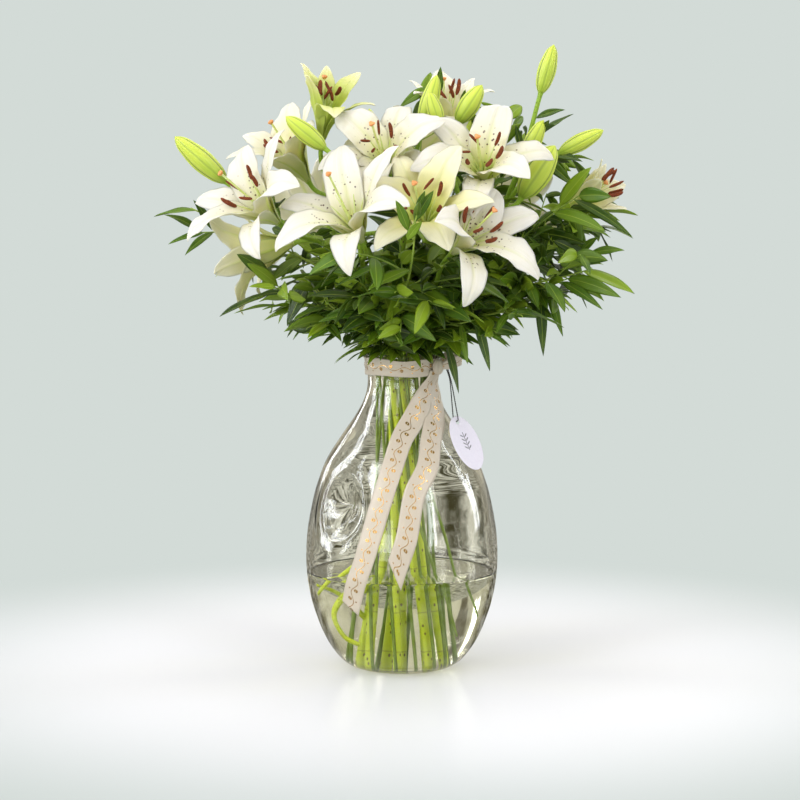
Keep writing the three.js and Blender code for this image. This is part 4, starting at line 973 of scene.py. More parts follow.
def tepal_form(flower, k, attempt, s):
    """A tepal's rib, up, half width and way across at shares s of its length, as in the source: the rib's
    angle from the facing is flare + bend s, so its distance out is root + reach (cos flare - cos angle) /
    bend and its distance up is rise + reach (sin angle - sin flare) / bend."""
    extra, turn, share = attempt
    ring = TEPAL_RINGS[k % 2]
    out, round_way = bearing(flower["facing"], flower["roll"], 60 * k + turn)
    reach = flower["length"] * share * ring["share"]
    flare = math.radians(ring["flare"]) * min(1, flower["curl"] / OPEN_CURL)
    curl = flower["curl"] * (0.92 + 0.16 * chance(flower["seed"] * 7 + k)) + flower["spread"][k] + extra
    bend = math.radians(curl) - flare
    angle = (flare + bend * s)[:, None]
    r = TEPAL_ROOT + reach * (math.cos(flare) - np.cos(angle)) / bend
    a = ring["rise"] + reach * (np.sin(angle) - math.sin(flare)) / bend
    rib = flower["base"] + out * r + flower["facing"] * a
    up = flower["facing"] * np.sin(angle) - out * np.cos(angle)
    most = np.minimum(ring["half"], 0.6 * r[:, 0] + 5)
    return rib, up, most, round_way


def chosen_tepal(flower, k, points):
    """The try that the source used for a tepal: the one whose tip and widest edges lie on its vertices."""
    best = (NEAR["tepal"], None)
    for attempt in TEPAL_TRIES:
        rib, up, most, across = tepal_form(flower, k, attempt, np.array([0.6, 1.0]))
        edge = [rib[0] + across * side * most[0] + up[0] * 0.18 * most[0] for side in (-1, 1)]
        off = gaps_to(points, rib[1]) + gaps_to(points, edge).min()
        if off < best[0]:
            best = (off, attempt)
    return best[1]


def tepal(flower, k, attempt):
    """A tepal with a ruffled edge and a tip that turns back: the edge rises by
    ruffle |t|^2.4 (sin(2 pi (waves s + phase)) + 0.4 sin(2 pi (2.3 waves s + 3 phase))) on each side, and
    the rib falls by back ((s - 0.7) / 0.3)^2 past seven tenths of its length. It also falls by
    apart (1 - opened) over its first half, which keeps the outer ones behind the inner ones."""
    ring = TEPAL_RINGS[k % 2]
    s = np.concatenate([np.linspace(0, 0.88, 34), np.linspace(0.9, 1, 9)])
    opened = min(1, flower["curl"] / OPEN_CURL)
    rib, up, _, across = tepal_form(flower, k, attempt, s * (1 + FULLER["longer"] * opened ** 2))
    away = rib - flower["base"]
    away = np.linalg.norm(away - flower["facing"] * (away @ flower["facing"])[:, None], axis=1)
    widest = ring["full"] * (0.6 + 0.4 * opened)
    most = np.minimum(widest, FULLER["slope"] * away + FULLER["start"])
    smooth = catmull(np.column_stack([*TEPAL_HALF, np.zeros(len(TEPAL_HALF[0]))]), 400)
    shape = np.clip(np.interp(s, smooth[:, 0], smooth[:, 1]), 0, 1.12)
    shape[-1] = 0
    half = most * shape
    rise = half * np.interp(s, CUP_AT, ring["cup"])
    seed = flower["seed"] * 31 + k * 5
    back = (7.0 + 4.5 * chance(seed + 3)) * opened
    rib = rib - up * (back * np.clip((s - 0.7) / 0.3, 0, 1) ** 2)[:, None]
    rib = rib - up * (ring["apart"] * (1 - opened) * np.clip(s / 0.5, 0, 1))[:, None]
    t = np.linspace(-1, 1, ring["columns"])
    ruffle = ring["ruffle"] * opened + 0.3
    phase = np.where(t < 0, chance(seed), chance(seed + 1))
    waves = 1.8 + 1.2 * chance(seed + 2)
    beat = np.sin(2 * np.pi * (waves * s[:, None] + phase))
    beat = beat + 0.4 * np.sin(2 * np.pi * (2.3 * waves * s[:, None] + phase * 3))
    envelope = np.interp(s, [0, 0.22, 0.55, 0.88, 1], [0, 0.45, 1, 0.6, 0])[:, None]
    wave = ruffle * beat * envelope * np.abs(t) ** 2.4
    side_way = np.broadcast_to(across, rib.shape)
    return blade(rib, side_way, up, half, rise, 0.55, wave, groove=1.0, columns=len(t), root=1.5)


def bloom(name):
    """An open lily: its receptacle and the tepals that the source has."""
    flower = FLOWERS[name]
    points = cad_points(f"bloom_{name}")
    made = Piece()
    base, facing = flower["base"], flower["facing"]
    share = np.linspace(0, 1, 8)
    line = base + facing * np.linspace(0, RECEPTACLE["height"], len(share))[:, None]
    radii = np.interp(share, [0, 0.3, 1], [3.7, 4.4, 4.5])
    grid, across, rise = tube(line, radii, 18)
    made.body([(grid, across, rise * 0.02)], tone=flower["tone"], back=0.6)
    for k in range(6):
        attempt = chosen_tepal(flower, k, points)
        if attempt is not None:
            made.body(tepal(flower, k, attempt), tone=flower["tone"], back=[0.0, 1.0])
    return finish_piece(made, f"bloom_{name}_petals", [PETAL], [f"bloom_{name}"])


def anther_body(centre, way, side, length, thick):
    """An anther: two lobes, r = thick / 2 (0.85 + 0.22 cos 2a) (1 - |2 s - 1|^3)^0.5, bowed outwards by
    1.2 (1 - (2 s - 1)^2) mm."""
    s = np.linspace(0, 1, 14)
    bow = side * (1.2 * (1 - (2 * s[:, None] - 1) ** 2))
    path = centre + way * (length * (s[:, None] - 0.5)) + bow
    radii = thick / 2 * np.sqrt(np.clip(1 - np.abs(2 * s - 1) ** 3, 0.02, 1))
    return tube(path, radii, 14, lambda a: 0.85 + 0.22 * np.cos(2 * a), reference=side, flat_ends=(0.1, 0.1))


def stamen(made, flower, floor, scale, k):
    """The filament of one stamen, a bar that bows inwards by 3.52 s (1 - s) mm, and its anther."""
    facing, seed = flower["facing"], flower["seed"]
    opened = min(1, flower["curl"] / SPREAD_CURL)
    out, round_way = bearing(facing, flower["roll"] + 30, 60 * k)
    reach = STAMEN["length"] * flower.get("reach", 1) * scale * (0.92 + 0.16 * chance(seed * 11 + k))
    spread = math.radians(STAMEN["spread"] * opened * (0.8 + 0.5 * chance(seed * 13 + k)))
    way = facing * math.cos(spread) + out * math.sin(spread)
    side = out * math.cos(spread) - facing * math.sin(spread)
    start = floor + out * BOSS["radius"] * 0.7 + facing * BOSS["height"] * 0.6
    end = floor + out * BOSS["radius"] + facing * BOSS["height"] + way * reach
    s = np.linspace(0, 1, 14)[:, None]
    line = start + (end - start) * s + side * (-2.2 * s * (1 - s) * 1.6)
    made.body([tube(line, np.interp(s[:, 0], [0, 0.7, 1], [1.0, 0.75, 0.4]), 10, flat_ends=(0, 0.3))])
    if flower.get("anthers", True):
        lean = unit(way + round_way * 2 * (chance(seed * 17 + k) - 0.5))
        middle = end + lean * 0.42 * STAMEN["anther"] + side * 0.6
        length, thick = STAMEN["anther"] + 2, STAMEN["anther_thick"] + 0.3
        made.body([anther_body(middle, lean, side, length, thick)], material=1)


def pistil(made, flower, floor, scale):
    """The ovary and style, one bar on a smooth line that leans out a little, and the stigma,
    r = grown (0.88 + 0.16 cos 3a)."""
    facing = flower["facing"]
    reach = PISTIL["length"] * scale
    side, _ = bearing(facing, flower["roll"] + 30, 0)
    marks = np.array([(0, 2.2), (1, 6), (2.5, 18), (5, 0.62 * reach), (6, reach - 3), (6.3, reach - 1)])
    line = catmull(floor + side * marks[:, :1] + facing * marks[:, 1:], 30)
    sizes = np.interp(np.linspace(0, 1, 30), [0, 0.12, 0.4, 0.5, 1], [1.9, 1.9, 1.7, 1.15, 1.2])
    made.body([tube(line, sizes, 14)])
    rise = np.array([-2.6, -1.4, -0.2, 0.9, 1.6, 1.9])
    grown = np.array([1.2, 2.1, 3.1, 3.5, 2.7, 1.3])
    head = floor + side * 6.4 + facing * (reach + rise[:, None])
    lobes = tube(head, grown, 30, lambda a: 0.88 + 0.16 * np.cos(3 * a), flat_ends=(0.2, -0.5))
    made.body([lobes], material=2)


def stamens(name):
    """Six filaments with their anthers round the pistil with its three-lobed stigma, on one boss."""
    flower = FLOWERS[name]
    scale = flower["length"] / LILY_LENGTH
    floor = flower["base"] + flower["facing"] * (RECEPTACLE["height"] + GAP)
    made = Piece()
    rounds = np.array([0, 0.4, 1.2, 2.0, BOSS["height"]])
    boss = tube(floor + flower["facing"] * rounds[:, None], BOSS["radius"] * (1 - 0.06 * rounds), 18)
    made.body([boss])
    for k in range(6):
        stamen(made, flower, floor, scale, k)
    pistil(made, flower, floor, scale)
    materials = [FILAMENT, ANTHER, STIGMA]
    return finish_piece(made, f"stamens_{name}_live", materials, [f"stamens_{name}"])


def leaf_body(root, way, up, length, half, seed, sag=LEAF["sag"]):
    """A ruscus leaf: its half width is half sin(pi s^0.8)^0.75 (1 - s^3 / 4) along a rib that arches down by
    sag length s^2, and its edges are folded up and softly waved."""
    s = np.linspace(0, 1, 12)
    rib = root + way * length * s[:, None] - UP * (sag * length * s[:, None] ** 2)
    across = np.broadcast_to(unit(np.cross(way, up)), rib.shape)
    width = half * np.sin(np.pi * s ** 0.8) ** 0.75 * (1 - 0.25 * s ** 3)
    width[0], width[-1] = 0.55, 0
    rise = LEAF["fold"] * (half / LEAF["half"]) * np.sin(np.pi * s) ** 0.6
    t = np.linspace(-1, 1, 7)
    beat = np.sin(2 * np.pi * (1.3 * s[:, None] + chance(seed + 0.11) + 0.25 * np.sign(t)))
    wave = 0.7 * beat * np.abs(t) ** 2 * np.sin(np.pi * s[:, None])
    ups = np.broadcast_to(up, rib.shape)
    return blade(rib, across, ups, width, rise, 0.35, wave, groove=0.35, columns=7, root=0.8)


def leaf_tone(seed):
    """How light a leaf is: most are dark or middling, a few are fresh."""
    return chance(seed + 0.91) ** 1.1


def add_leaf(plant, leaf, tone):
    """Adds a leaf to a spray, as its second material, with its back marked as a back."""
    plant.body(leaf, material=1, tone=tone, back=[0.0, 1.0])


def chosen_leaf(point, way, out, azimuth, length, half, seed, points):
    """The try that the source used for a leaf, as its way and its up: the one whose tip and an edge lie on
    the source's vertices, or None where the leaf found no room."""
    best = (NEAR["leaf"], None)
    for turn in LEAF_TRIES:
        aim = turned_about(out, way, turn)
        up = square_to(UP + polar(azimuth, 0.3, 0), aim)
        up = turned_about(up, aim, 70 * (chance(seed + 0.3) - 0.5))
        across = unit(np.cross(aim, up))
        tip = point + aim * length - UP * LEAF["sag"] * length
        belly = point + aim * length * 0.42 - UP * LEAF["sag"] * length * 0.42 ** 2 + up * LEAF["fold"]
        edges = [belly - across * half, belly + across * half]
        off = gaps_to(points, tip) + gaps_to(points, edges).min()
        if off < best[0]:
            best = (off, (aim, up))
    return best[1]


def shoot_leaves(plant, line, start, count, seed, azimuth, points, end=1.0):
    """The source's leaves of a shoot: alternate ones along its line and one at its end. Those that the
    source leaves out stay left out."""
    for k in range(count):
        last = k == count - 1
        point, way = along(line, 0.98 if last else start + (1 - start) * k / count)
        level = unit(np.cross(way, UP))
        splay = math.radians(SPRAY["splay"]) * (1 if k % 2 == 0 else -1) * (0.8 + 0.4 * chance(seed + k))
        splay = 0 if last else splay
        below, above = (620 - point[2]) / 180, (point[2] - 352) / 50
        hang = SPRAY["droop"] * min(np.clip(below, 0, 1), np.clip(above, 0, 1))
        out = way * math.cos(splay) + level * math.sin(splay)
        out = unit(out - UP * hang)
        length = LEAF["length"] * (0.8 + 0.35 * chance(seed + k + 0.5))
        half = LEAF["half"] * (0.85 + 0.3 * chance(seed + k + 0.7))
        chosen = chosen_leaf(point, way, out, azimuth, length, half, seed + k, points)
        if chosen is not None:
            aim, up = chosen
            half *= end if last else 1
            add_leaf(plant, leaf_body(point, aim, up, length, half, seed + k), leaf_tone(seed + k))


def spray_line(azimuth, reach, height, steep):
    """A spray's foot and its line above the neck, as in the source."""
    foot, neck, way = standing(azimuth, SPRAY_STEM["ring"], SPRAY_STEM["foot"], SPRAY_STEM["twist"])
    tip = polar(azimuth, reach, height)
    far = np.linalg.norm(tip - neck)
    rise = max(0.2, (height - NECK_HEIGHT) / far)
    climb = 0.6 * rise / math.sqrt(1.04 - rise ** 2) if steep is None else steep
    lead = unit(polar(azimuth, 1, climb))
    return foot, neck, (neck, neck + way * far * 0.35, tip - lead * far * 0.4, tip)


def clear_of(tree, points, room):
    """Whether every point keeps that much room, in millimetres, to the pieces in the tree."""
    return all(tree.find_nearest(Vector(p * MM), room * MM)[0] is None for p in points)


def chosen_twig(point, way, side, length, points):
    """A side twig's points, by the try that the source used: the one whose end lies in a ring of the
    source's vertices, or None where the twig found no room."""
    best = (NEAR["twig"], None)
    level = unit(np.cross(way, UP))
    splay = math.radians(SPRAY["twig_splay"])
    for turn in LEAF_TRIES:
        aim = turned_about(way * math.cos(splay) + level * side * math.sin(splay), way, turn)
        far = point + aim * length
        ring = np.sort(np.linalg.norm(points - far, axis=1))[:2]
        off = float(np.abs(ring - SPRAY["twig_end"]).max())
        if off < best[0]:
            best = (off, np.array([point, (point + far) / 2 + UP * 4, far]))
    return best[1]


def spray(index, name, azimuth, reach, height, steep, tree, box):
    """A ruscus spray: its stem, twigs and leaves as in the source, and shoots that fill it out where the
    blooms, the ribbon and the glass leave room."""
    foot, neck, control = spray_line(azimuth, reach, height, steep)
    coarse, fine = bezier(*control, 5), bezier(*control, 30)
    points = cad_points(f"spray_{name}")
    plant = Piece()
    path = np.vstack([foot + (neck - foot) * np.linspace(0, 1, 24)[:-1, None], bezier(*control, 40)])
    radii = SPRAY_STEM["radius"] * np.interp(np.linspace(0, 1, len(path)), [0, 0.37, 1], [1, 0.93, 0.45])
    plant.body([tube(path, radii, 10, flat_ends=(0.1, 0.3))])
    shoot_leaves(plant, coarse, 0.42, SPRAY["leaves"], 100 * index, azimuth, points,
                 END_LEAF.get(name, 1.0))
    for t in range(SPRAY["twigs"]):
        point, way = along(coarse, 0.12 + reach / 1100 + 0.19 * t)
        length = SPRAY["twig_length"] * (0.8 + 0.4 * chance(30 * index + t))
        twig = chosen_twig(point, way, 1 if t % 2 == 0 else -1, length, points)
        if twig is not None:
            plant.body([tube(catmull(twig, 12), np.linspace(1.0, 0.6, 12), 8, flat_ends=(0, 0.3))])
            shoot_leaves(plant, twig, 0.35, SPRAY["twig_leaves"], 100 * index + 10 * t + 31, azimuth, points)
    for share, through, leaves in SPRIGS.get(name, []):
        sprig(plant, fine, share, through, leaves, index)
    collar(plant, index, azimuth, tree)
    shoots = FULL.get(name, SHOOTS["count"]), CROWN.get(name, SHOOTS["crown"])
    fill_out(plant, fine, index, azimuth, tree, box, shoots)
    return finish_piece(plant, f"spray_{name}_live", [TWIG_GREEN, LEAF_GREEN], [f"spray_{name}"])


def allowed(tip, low, high):
    """Whether a tip is inside the box of the whole and no lower than the skirt of the greenery."""
    away = math.hypot(tip[0], tip[1])
    skirt = SKIRT["height"] + SKIRT["slope"] * max(0, away - SKIRT["from"])
    return bool(np.all(tip > low) and np.all(tip < high) and tip[2] > skirt)


def sprig(plant, line, share, through, leaves, index):
    """A twig that stands out of a spray, and its leaves, each laid from its root to its tip with its face
    turned to the front."""
    if share is not None:
        start, _ = along(line, share)
        twig = catmull(np.array([start, *through], float), 16)
        plant.body([tube(twig, np.linspace(1.0, 0.6, 16), 8, flat_ends=(0, 0.3))])
    for k, (root, tip, half, tone) in enumerate(leaves):
        root, tip = np.array(root, float), np.array(tip, float)
        seed = 5000 + 40 * index + k + root[0]
        length = np.linalg.norm(tip - root) * 1.02
        sag = 0.1 + 0.12 * chance(seed)
        way = unit(tip - root + UP * sag * length)
        up = square_to(UP * 0.45 + polar(270, 1.0, 0), way)
        up = turned_about(up, way, 60 * (chance(seed + 0.3) - 0.5))
        add_leaf(plant, leaf_body(root, way, up, length, half, seed, sag), tone)


def collar(plant, index, azimuth, tree):
    """The leaves that a spray has close above the rim: each leaves the neck outwards and arches down."""
    for k in range(COLLAR["count"]):
        seed = 7000 + 20 * index + k
        turn = azimuth + COLLAR["spread"] * ((k + 0.5) / COLLAR["count"] - 0.5) + 12 * (chance(seed) - 0.5)
        root = polar(turn, 25 + 6 * chance(seed + 0.1), 336 + 11 * chance(seed + 0.2))
        way = unit(polar(turn + 50 * (chance(seed + 0.4) - 0.5), 1.0, 0.1 + 0.5 * chance(seed + 0.5)))
        length = COLLAR["leaf"] * (0.75 + 0.6 * chance(seed + 0.6))
        sag = 0.32 + 0.25 * chance(seed + 0.7)
        up = square_to(UP + polar(azimuth, 0.5, 0), way)
        up = turned_about(up, way, 80 * (chance(seed + 0.8) - 0.5))
        share = np.array([0.25, 0.5, 0.75, 1])[:, None]
        marks = root + way * length * share - UP * sag * length * share ** 2
        if clear_of(tree, marks, ROOM["collar"]):
            half = COLLAR["half"] * (0.75 + 0.5 * chance(seed + 0.9))
            add_leaf(plant, leaf_body(root, way, up, length, half, seed, sag), leaf_tone(seed))


def shoot_twig(line, share, seed, t, tree, box):
    """The twig of an extra shoot, in the first of a few ways out of the stem in which it touches nothing and
    stays in the box of the whole, or None: turned round the stem by the golden angle, it droops at its
    end."""
    point, way = along(line, share)
    level = unit(np.cross(way, UP))
    for again in range(SHOOTS["tries"]):
        turn = GOLDEN_ANGLE * t + 50 * again + 40 * chance(seed + 1)
        splay = math.radians(35 + 38 * chance(seed + 2 + again))
        aim = turned_about(way * math.cos(splay) + level * math.sin(splay), way, turn)
        length = SHOOTS["length"] * (0.7 + 0.5 * chance(seed + 3 + again)) * (1 - 0.35 * share)
        end = point + unit(aim + UP * 0.12) * length
        twig = bezier(point, point + aim * length * 0.4, end + UP * 5, end, 10)
        if clear_of(tree, twig[2:], ROOM["twig"]) and allowed(end, *box):
            return twig
    return None


def shoot_leaf(plant, twig, k, seed, azimuth, tree, box):
    """One leaf of an extra shoot: they stand in two rows and the last one ends it. What would touch a bloom
    or leave the box of the whole is left out."""
    last = k == SHOOTS["leaves"] - 1
    spot, going = along(twig, 0.98 if last else 0.22 + 0.78 * k / SHOOTS["leaves"])
    across = unit(np.cross(going, UP))
    side = (1 if k % 2 == 0 else -1) * math.radians(38 + 26 * chance(seed + 0.2))
    side = 0 if last else side
    raised = UP * 0.4 * (chance(seed + 0.4) - 0.4)
    out = unit(going * math.cos(side) + across * math.sin(side) + raised)
    up = square_to(UP * 0.6 + polar(azimuth, 1.0, 0), out)
    up = turned_about(up, out, 130 * (chance(seed + 0.3) - 0.5))
    size = SHOOTS["leaf"] * (0.6 + 0.7 * chance(seed + 0.5))
    half = SHOOTS["half"] * (0.7 + 0.5 * chance(seed + 0.7)) * (size / SHOOTS["leaf"]) ** 0.5
    sag = 0.12 + 0.28 * chance(seed + 0.6)
    marks = spot + out * size * np.array([0.25, 0.5, 0.75, 1])[:, None]
    marks = marks - UP * sag * size * np.array([0.06, 0.25, 0.56, 1])[:, None]
    if allowed(marks[-1], *box) and clear_of(tree, marks, ROOM["leaf"]):
        add_leaf(plant, leaf_body(spot, out, up, size, half, seed, sag), leaf_tone(seed))


def fill_out(plant, line, index, azimuth, tree, box, shoots):
    """Extra shoots, each from its own share of the stem, with their leaves."""
    count, crown = shoots
    for t in range(count):
        seed = 1000 + 60 * index + 7 * t
        share = 0.02 + crown * (t + 0.6 * chance(seed)) / count
        twig = shoot_twig(line, share, seed, t, tree, box)
        if twig is None:
            continue
        plant.body([tube(twig, np.linspace(0.9, 0.45, 11), 6, flat_ends=(0, 0.3))])
        for k in range(SHOOTS["leaves"]):
            shoot_leaf(plant, twig, k, seed + k, azimuth, tree, box)


def cloth_loop(front, behind, across, rise):
    """A closed strip of cloth from the grids of its two faces: each row runs over the front, back over the
    other face, and the ends are drawn in to their middles."""
    ring = np.concatenate([front, behind[:, ::-1], front[:, :1]], axis=1)
    u = np.concatenate([across, across[:, ::-1], across[:, :1]], axis=1)
    v = np.concatenate([rise, rise[:, ::-1], rise[:, :1]], axis=1)
    ends = [np.broadcast_to(ring[i].mean(axis=0), ring[:1].shape) for i in (0, -1)]
    return (np.concatenate([ends[0], ring, ends[1]]), np.concatenate([u[:1], u, u[-1:]]),
            np.concatenate([v[:1], v, v[-1:]]))


def tail(slant, line, rows=110, columns=11):
    """A tail on the glass: across its line it is 2 wide mm, lifted over the band near the knot, crowned by
    0.5 (1 - t^2), gently waved, and its end is cut on a slant."""
    share = np.linspace(0, 1, rows)
    path = catmull(np.column_stack([line, np.zeros(len(line))]), rows)[:, :2]
    radius = outside(path[:, 1])
    slope = np.gradient(path, axis=0)
    way = unit(np.column_stack([np.radians(slope[:, 0]) * radius, slope[:, 1]]))
    wide = np.interp(share, [0, 0.25, 1], [RIBBON["gathered"], RIBBON["half"], RIBBON["half"]])[:, None]
    t = np.linspace(-1, 1, columns)
    cut = slant * (t + 1) / 2 * np.clip((share - 0.85) / 0.15, 0, 1)[:, None]
    shift = -t * wide * way[:, 1:] + cut * way[:, :1]
    azimuth = path[:, :1] + np.degrees(shift / radius[:, None])
    z = path[:, 1:] + t * wide * way[:, :1] + cut * way[:, 1:]
    lift = RIBBON["stand"] + 2.4 * np.clip(1 - 7 * share, 0, 1)[:, None]
    sway = 0.35 * np.sin(share[:, None] * 31 + t * 1.3) + 0.5 * (1 - t * t)
    pleat = 0.9 * np.cos(t * 9.5) * np.clip(1 - 5 * share, 0, 1)[:, None]
    off = lift + sway + pleat
    front, behind = (polar(azimuth, outside(z) + off + skin, z) for skin in (0.5, 0.0))
    step = np.linalg.norm(np.diff(front[:, columns // 2], axis=0), axis=1)
    run = np.concatenate([[0], np.cumsum(step)])[:, None] / 1000 + 0 * t
    return cloth_loop(front, behind, np.broadcast_to((t + 1) / 2, run.shape), run)


def band():
    """The band round the neck: creases run round it, and its upper edge curls out."""
    azimuth = np.linspace(0, 360, 145)
    t = np.linspace(0, 1, 15)[:, None]
    a = np.radians(azimuth)
    top = RIBBON["high"] + 1.2 * np.sin(a * 2 + 1) + 0.8 * np.sin(a * 5)
    low = RIBBON["low"] + 0.7 * np.sin(a * 3 + 2)
    z = low + (top - low) * t
    crease = 0.45 * np.sin(t * 15 + 1.5 * np.sin(a * 2) + 0.8 * np.sin(a * 7)) * np.sin(np.pi * t)
    curl = 1.5 * np.clip((t - 0.8) / 0.2, 0, 1) ** 2
    off = RIBBON["stand"] + 0.3 + crease + curl
    rows = []
    for skin in (0.5, 0.0):
        grid = polar(azimuth + 0 * z, outside(np.minimum(z, RIM_HEIGHT)) + off + skin, z)
        grid[:, -1] = grid[:, 0]
        rows.append(grid)
    ring = np.concatenate([rows[0], rows[1][::-1], rows[0][:1]])
    u = np.concatenate([t, t[::-1], t[:1]]) + 0 * a
    v = np.broadcast_to(a * 38 / 1000, u.shape)
    return ring, u, v


def loop(turn, length, rise):
    """A loop of the bow: out of the knot, round and back on a smooth line, 2 tall mm high."""
    way = polar(KNOT["azimuth"] + turn, 1.0, 0.0)
    across = np.array([-way[1], way[0], 0.0])
    shape = [(0, -0.15), (0.45, -1), (0.85, -0.9), (1, 0), (0.85, 0.9), (0.45, 1), (0, 0.15)]
    rows = 48
    fine = catmull(np.column_stack([shape, np.zeros(len(shape))]), rows)
    root = polar(KNOT["azimuth"], outside(KNOT["height"]) + KNOT["out"] + 1, KNOT["height"])
    t = np.linspace(-1, 1, 9)
    faces = []
    for inset in (0.0, 0.5):
        out, swell = fine[:, 0] * (length - inset), fine[:, 1] * (LOOP["swell"] - inset)
        middle = root + way * out[:, None] + across * swell[:, None]
        tall = LOOP["half"] * (0.45 + 0.55 * np.minimum(1, 2 * fine[:, 0]))
        fold = 0.6 * np.cos(t * 7) * (1 - np.minimum(1, 1.5 * fine[:, :1]))
        faces.append(middle[:, None] + UP * (rise * fine[:, :1] + t * tall[:, None])[:, :, None]
                     + way * fold[:, :, None])
    run = np.linspace(0, 0.06, rows)[:, None] + 0 * t
    return cloth_loop(faces[0], faces[1], np.broadcast_to((t + 1) / 2, run.shape), run)


def ribbon():
    """The tied ribbon: band, knot, bow loops and tails, one cloth. The knot is a folded ball,
    r = 1.12 radius (1 - (z / 0.62)^2)^0.5 (1 + 0.07 cos 7a + 0.05 cos(3a + 1)), with z in shares of its
    height from its middle."""
    made = Piece()
    made.body([band()], tone=1.0)
    z = np.linspace(-0.56, 0.56, 16)
    path = polar(KNOT["azimuth"], outside(KNOT["height"]) + KNOT["out"], KNOT["height"] + z * KNOT["tall"])
    shape = np.sqrt(np.clip(1 - (z / 0.62) ** 2, 0.04, 1)) * KNOT["radius"] * 1.12
    made.body([tube(path, shape, 40, lambda a: 1 + 0.07 * np.cos(7 * a) + 0.05 * np.cos(3 * a + 1))])
    for bow in LOOPS:
        made.body([loop(*bow)], tone=1.0)
    for slant, line in TAILS:
        made.body([tail(slant, line)], tone=1.0)
    cloth = finish_piece(made, "ribbon_cloth", [SATIN], ["ribbon"])
    return cloth


def tag_frame():
    """The tag's long way, its way out of the glass, and its eye."""
    aim, lean = math.radians(TAG_AIM["azimuth"]), math.radians(TAG_AIM["lean"])
    up = np.array([-math.cos(aim) * math.sin(lean), -math.sin(aim) * math.sin(lean), math.cos(lean)])
    side = polar(TAG_AIM["azimuth"] + 90, 1.0, 0.0)
    long_way = turned_about(up, unit(np.cross(up, side)), -TAG_AIM["roll"])
    out = unit(np.cross(side, up))
    return long_way, out, np.array(TAG["centre"]) + long_way * EYE["up"]


def tag():
    """The oval card: rings between its eye and its rim, on both faces, with a rounded edge. How far the rim
    is from the eye's middle at each turn is the root of the oval's equation."""
    long_way, out, _ = tag_frame()
    side = np.cross(long_way, out)
    turn = np.linspace(0, 2 * np.pi, 97)
    dx, dy = np.cos(turn), np.sin(turn)
    wide, tall, up = TAG["wide"], TAG["long"], EYE["up"]
    a = (dx / wide) ** 2 + (dy / tall) ** 2
    b = 2 * up * dy / tall ** 2
    c = (up / tall) ** 2 - 1
    reach = (-b + np.sqrt(b * b - 4 * a * c)) / (2 * a)

    def ring(share, inset, depth):
        """A ring at a share of the way from the eye to the rim, and its UV values."""
        r = EYE["radius"] + (reach - EYE["radius"]) * share + inset
        x, y = dx * r, up + dy * r
        points = np.array(TAG["centre"]) + side * x[:, None] + long_way * y[:, None] + out * depth
        points[-1] = points[0]
        return points, 0.5 + x / (2 * wide), 0.5 + y / (2 * tall)

    def rings(*specs):
        """Rings stacked into one grid."""
        made = [ring(*spec) for spec in specs]
        return tuple(np.stack([m[i] for m in made]) for i in range(3))

    thick = TAG["thickness"]
    shares = [0, 0.15, 0.35, 0.6, 0.8, 0.95]
    face = rings((0, 0.2, thick), *[(s, 0, thick) for s in shares[1:]], (1, -0.25, thick))
    rim = rings((1, -0.25, thick), (1, -0.05, thick * 0.85), (1, 0, thick / 2), (1, -0.05, thick * 0.15),
                (1, -0.25, 0))
    behind = rings((1, -0.25, 0), *[(s, 0, 0) for s in shares[:0:-1]], (0, 0.2, 0))
    bore = rings((0, 0.2, 0), (0, 0, thick * 0.25), (0, 0, thick * 0.75), (0, 0.2, thick))
    made = Piece()
    made.body([face, rim, behind, bore], tone=1.0, back=[0.0, 1.0, 1.0, 1.0])
    return finish_piece(made, "tag_oval", [CARD], ["tag"])


def string_path():
    """The string's route from the knot, through the eye and back, as in the source."""
    r = STRING_RADIUS
    long_way, out, eye = tag_frame()

    def at_knot(turn, away, z):
        """A point near the knot, this far out of the glass."""
        return polar(KNOT["azimuth"] + turn, outside(KNOT["height"]) + away, z)

    hung = eye + long_way * (EYE["radius"] - r - GAP)
    return np.array([
        at_knot(8, KNOT["out"] + KNOT["radius"] + 2, KNOT["height"] + 2),
        at_knot(10, KNOT["out"] + 12, KNOT["height"] - 18),
        eye + out * 4 + long_way * 5,
        hung + out * (TAG["thickness"] + r + 0.8),
        hung - out * (r + 0.8),
        eye - out * 3 + long_way * 6,
        at_knot(18, KNOT["out"] + 8, KNOT["height"] - 16),
        at_knot(14, KNOT["out"] + KNOT["radius"], KNOT["height"] - 3),
    ])


def string():
    """The string: two strands wound round its line, each about half its radius from it."""
    line = spaced(catmull(string_path(), 600, 0.3), 420)
    long_way = length_of(line)
    ways = ways_of(line)
    side = polar(TAG_AIM["azimuth"] + 90, 1.0, 0.0)
    across = unit(side - ways * (ways @ side)[:, None])
    other = np.cross(ways, across)
    turn = np.linspace(0, long_way / STRING_PITCH * 2 * np.pi, len(line))[:, None]
    made = Piece()
    for strand in (0, np.pi):
        spoke = across * np.cos(turn + strand) + other * np.sin(turn + strand)
        made.body([tube(line + spoke * STRING_RADIUS * 0.48, STRING_RADIUS * 0.54, 8, reference=side)])
    cord = finish_piece(made, "tag_string_cord", [CORD], ["tag_string"])
    return cord


def camera():
    """The camera that shows the whole from the front."""
    data = bpy.data.cameras.new("view")
    data.lens = CAMERA["lens"]
    data.clip_end = 50
    made = bpy.data.objects.new("view", data)
    made.location = [value * MM for value in CAMERA["place"]]
    made.rotation_euler = (math.radians(CAMERA["pitch"]), 0, 0)
    bpy.context.scene.collection.objects.link(made)
    bpy.context.scene.camera = made


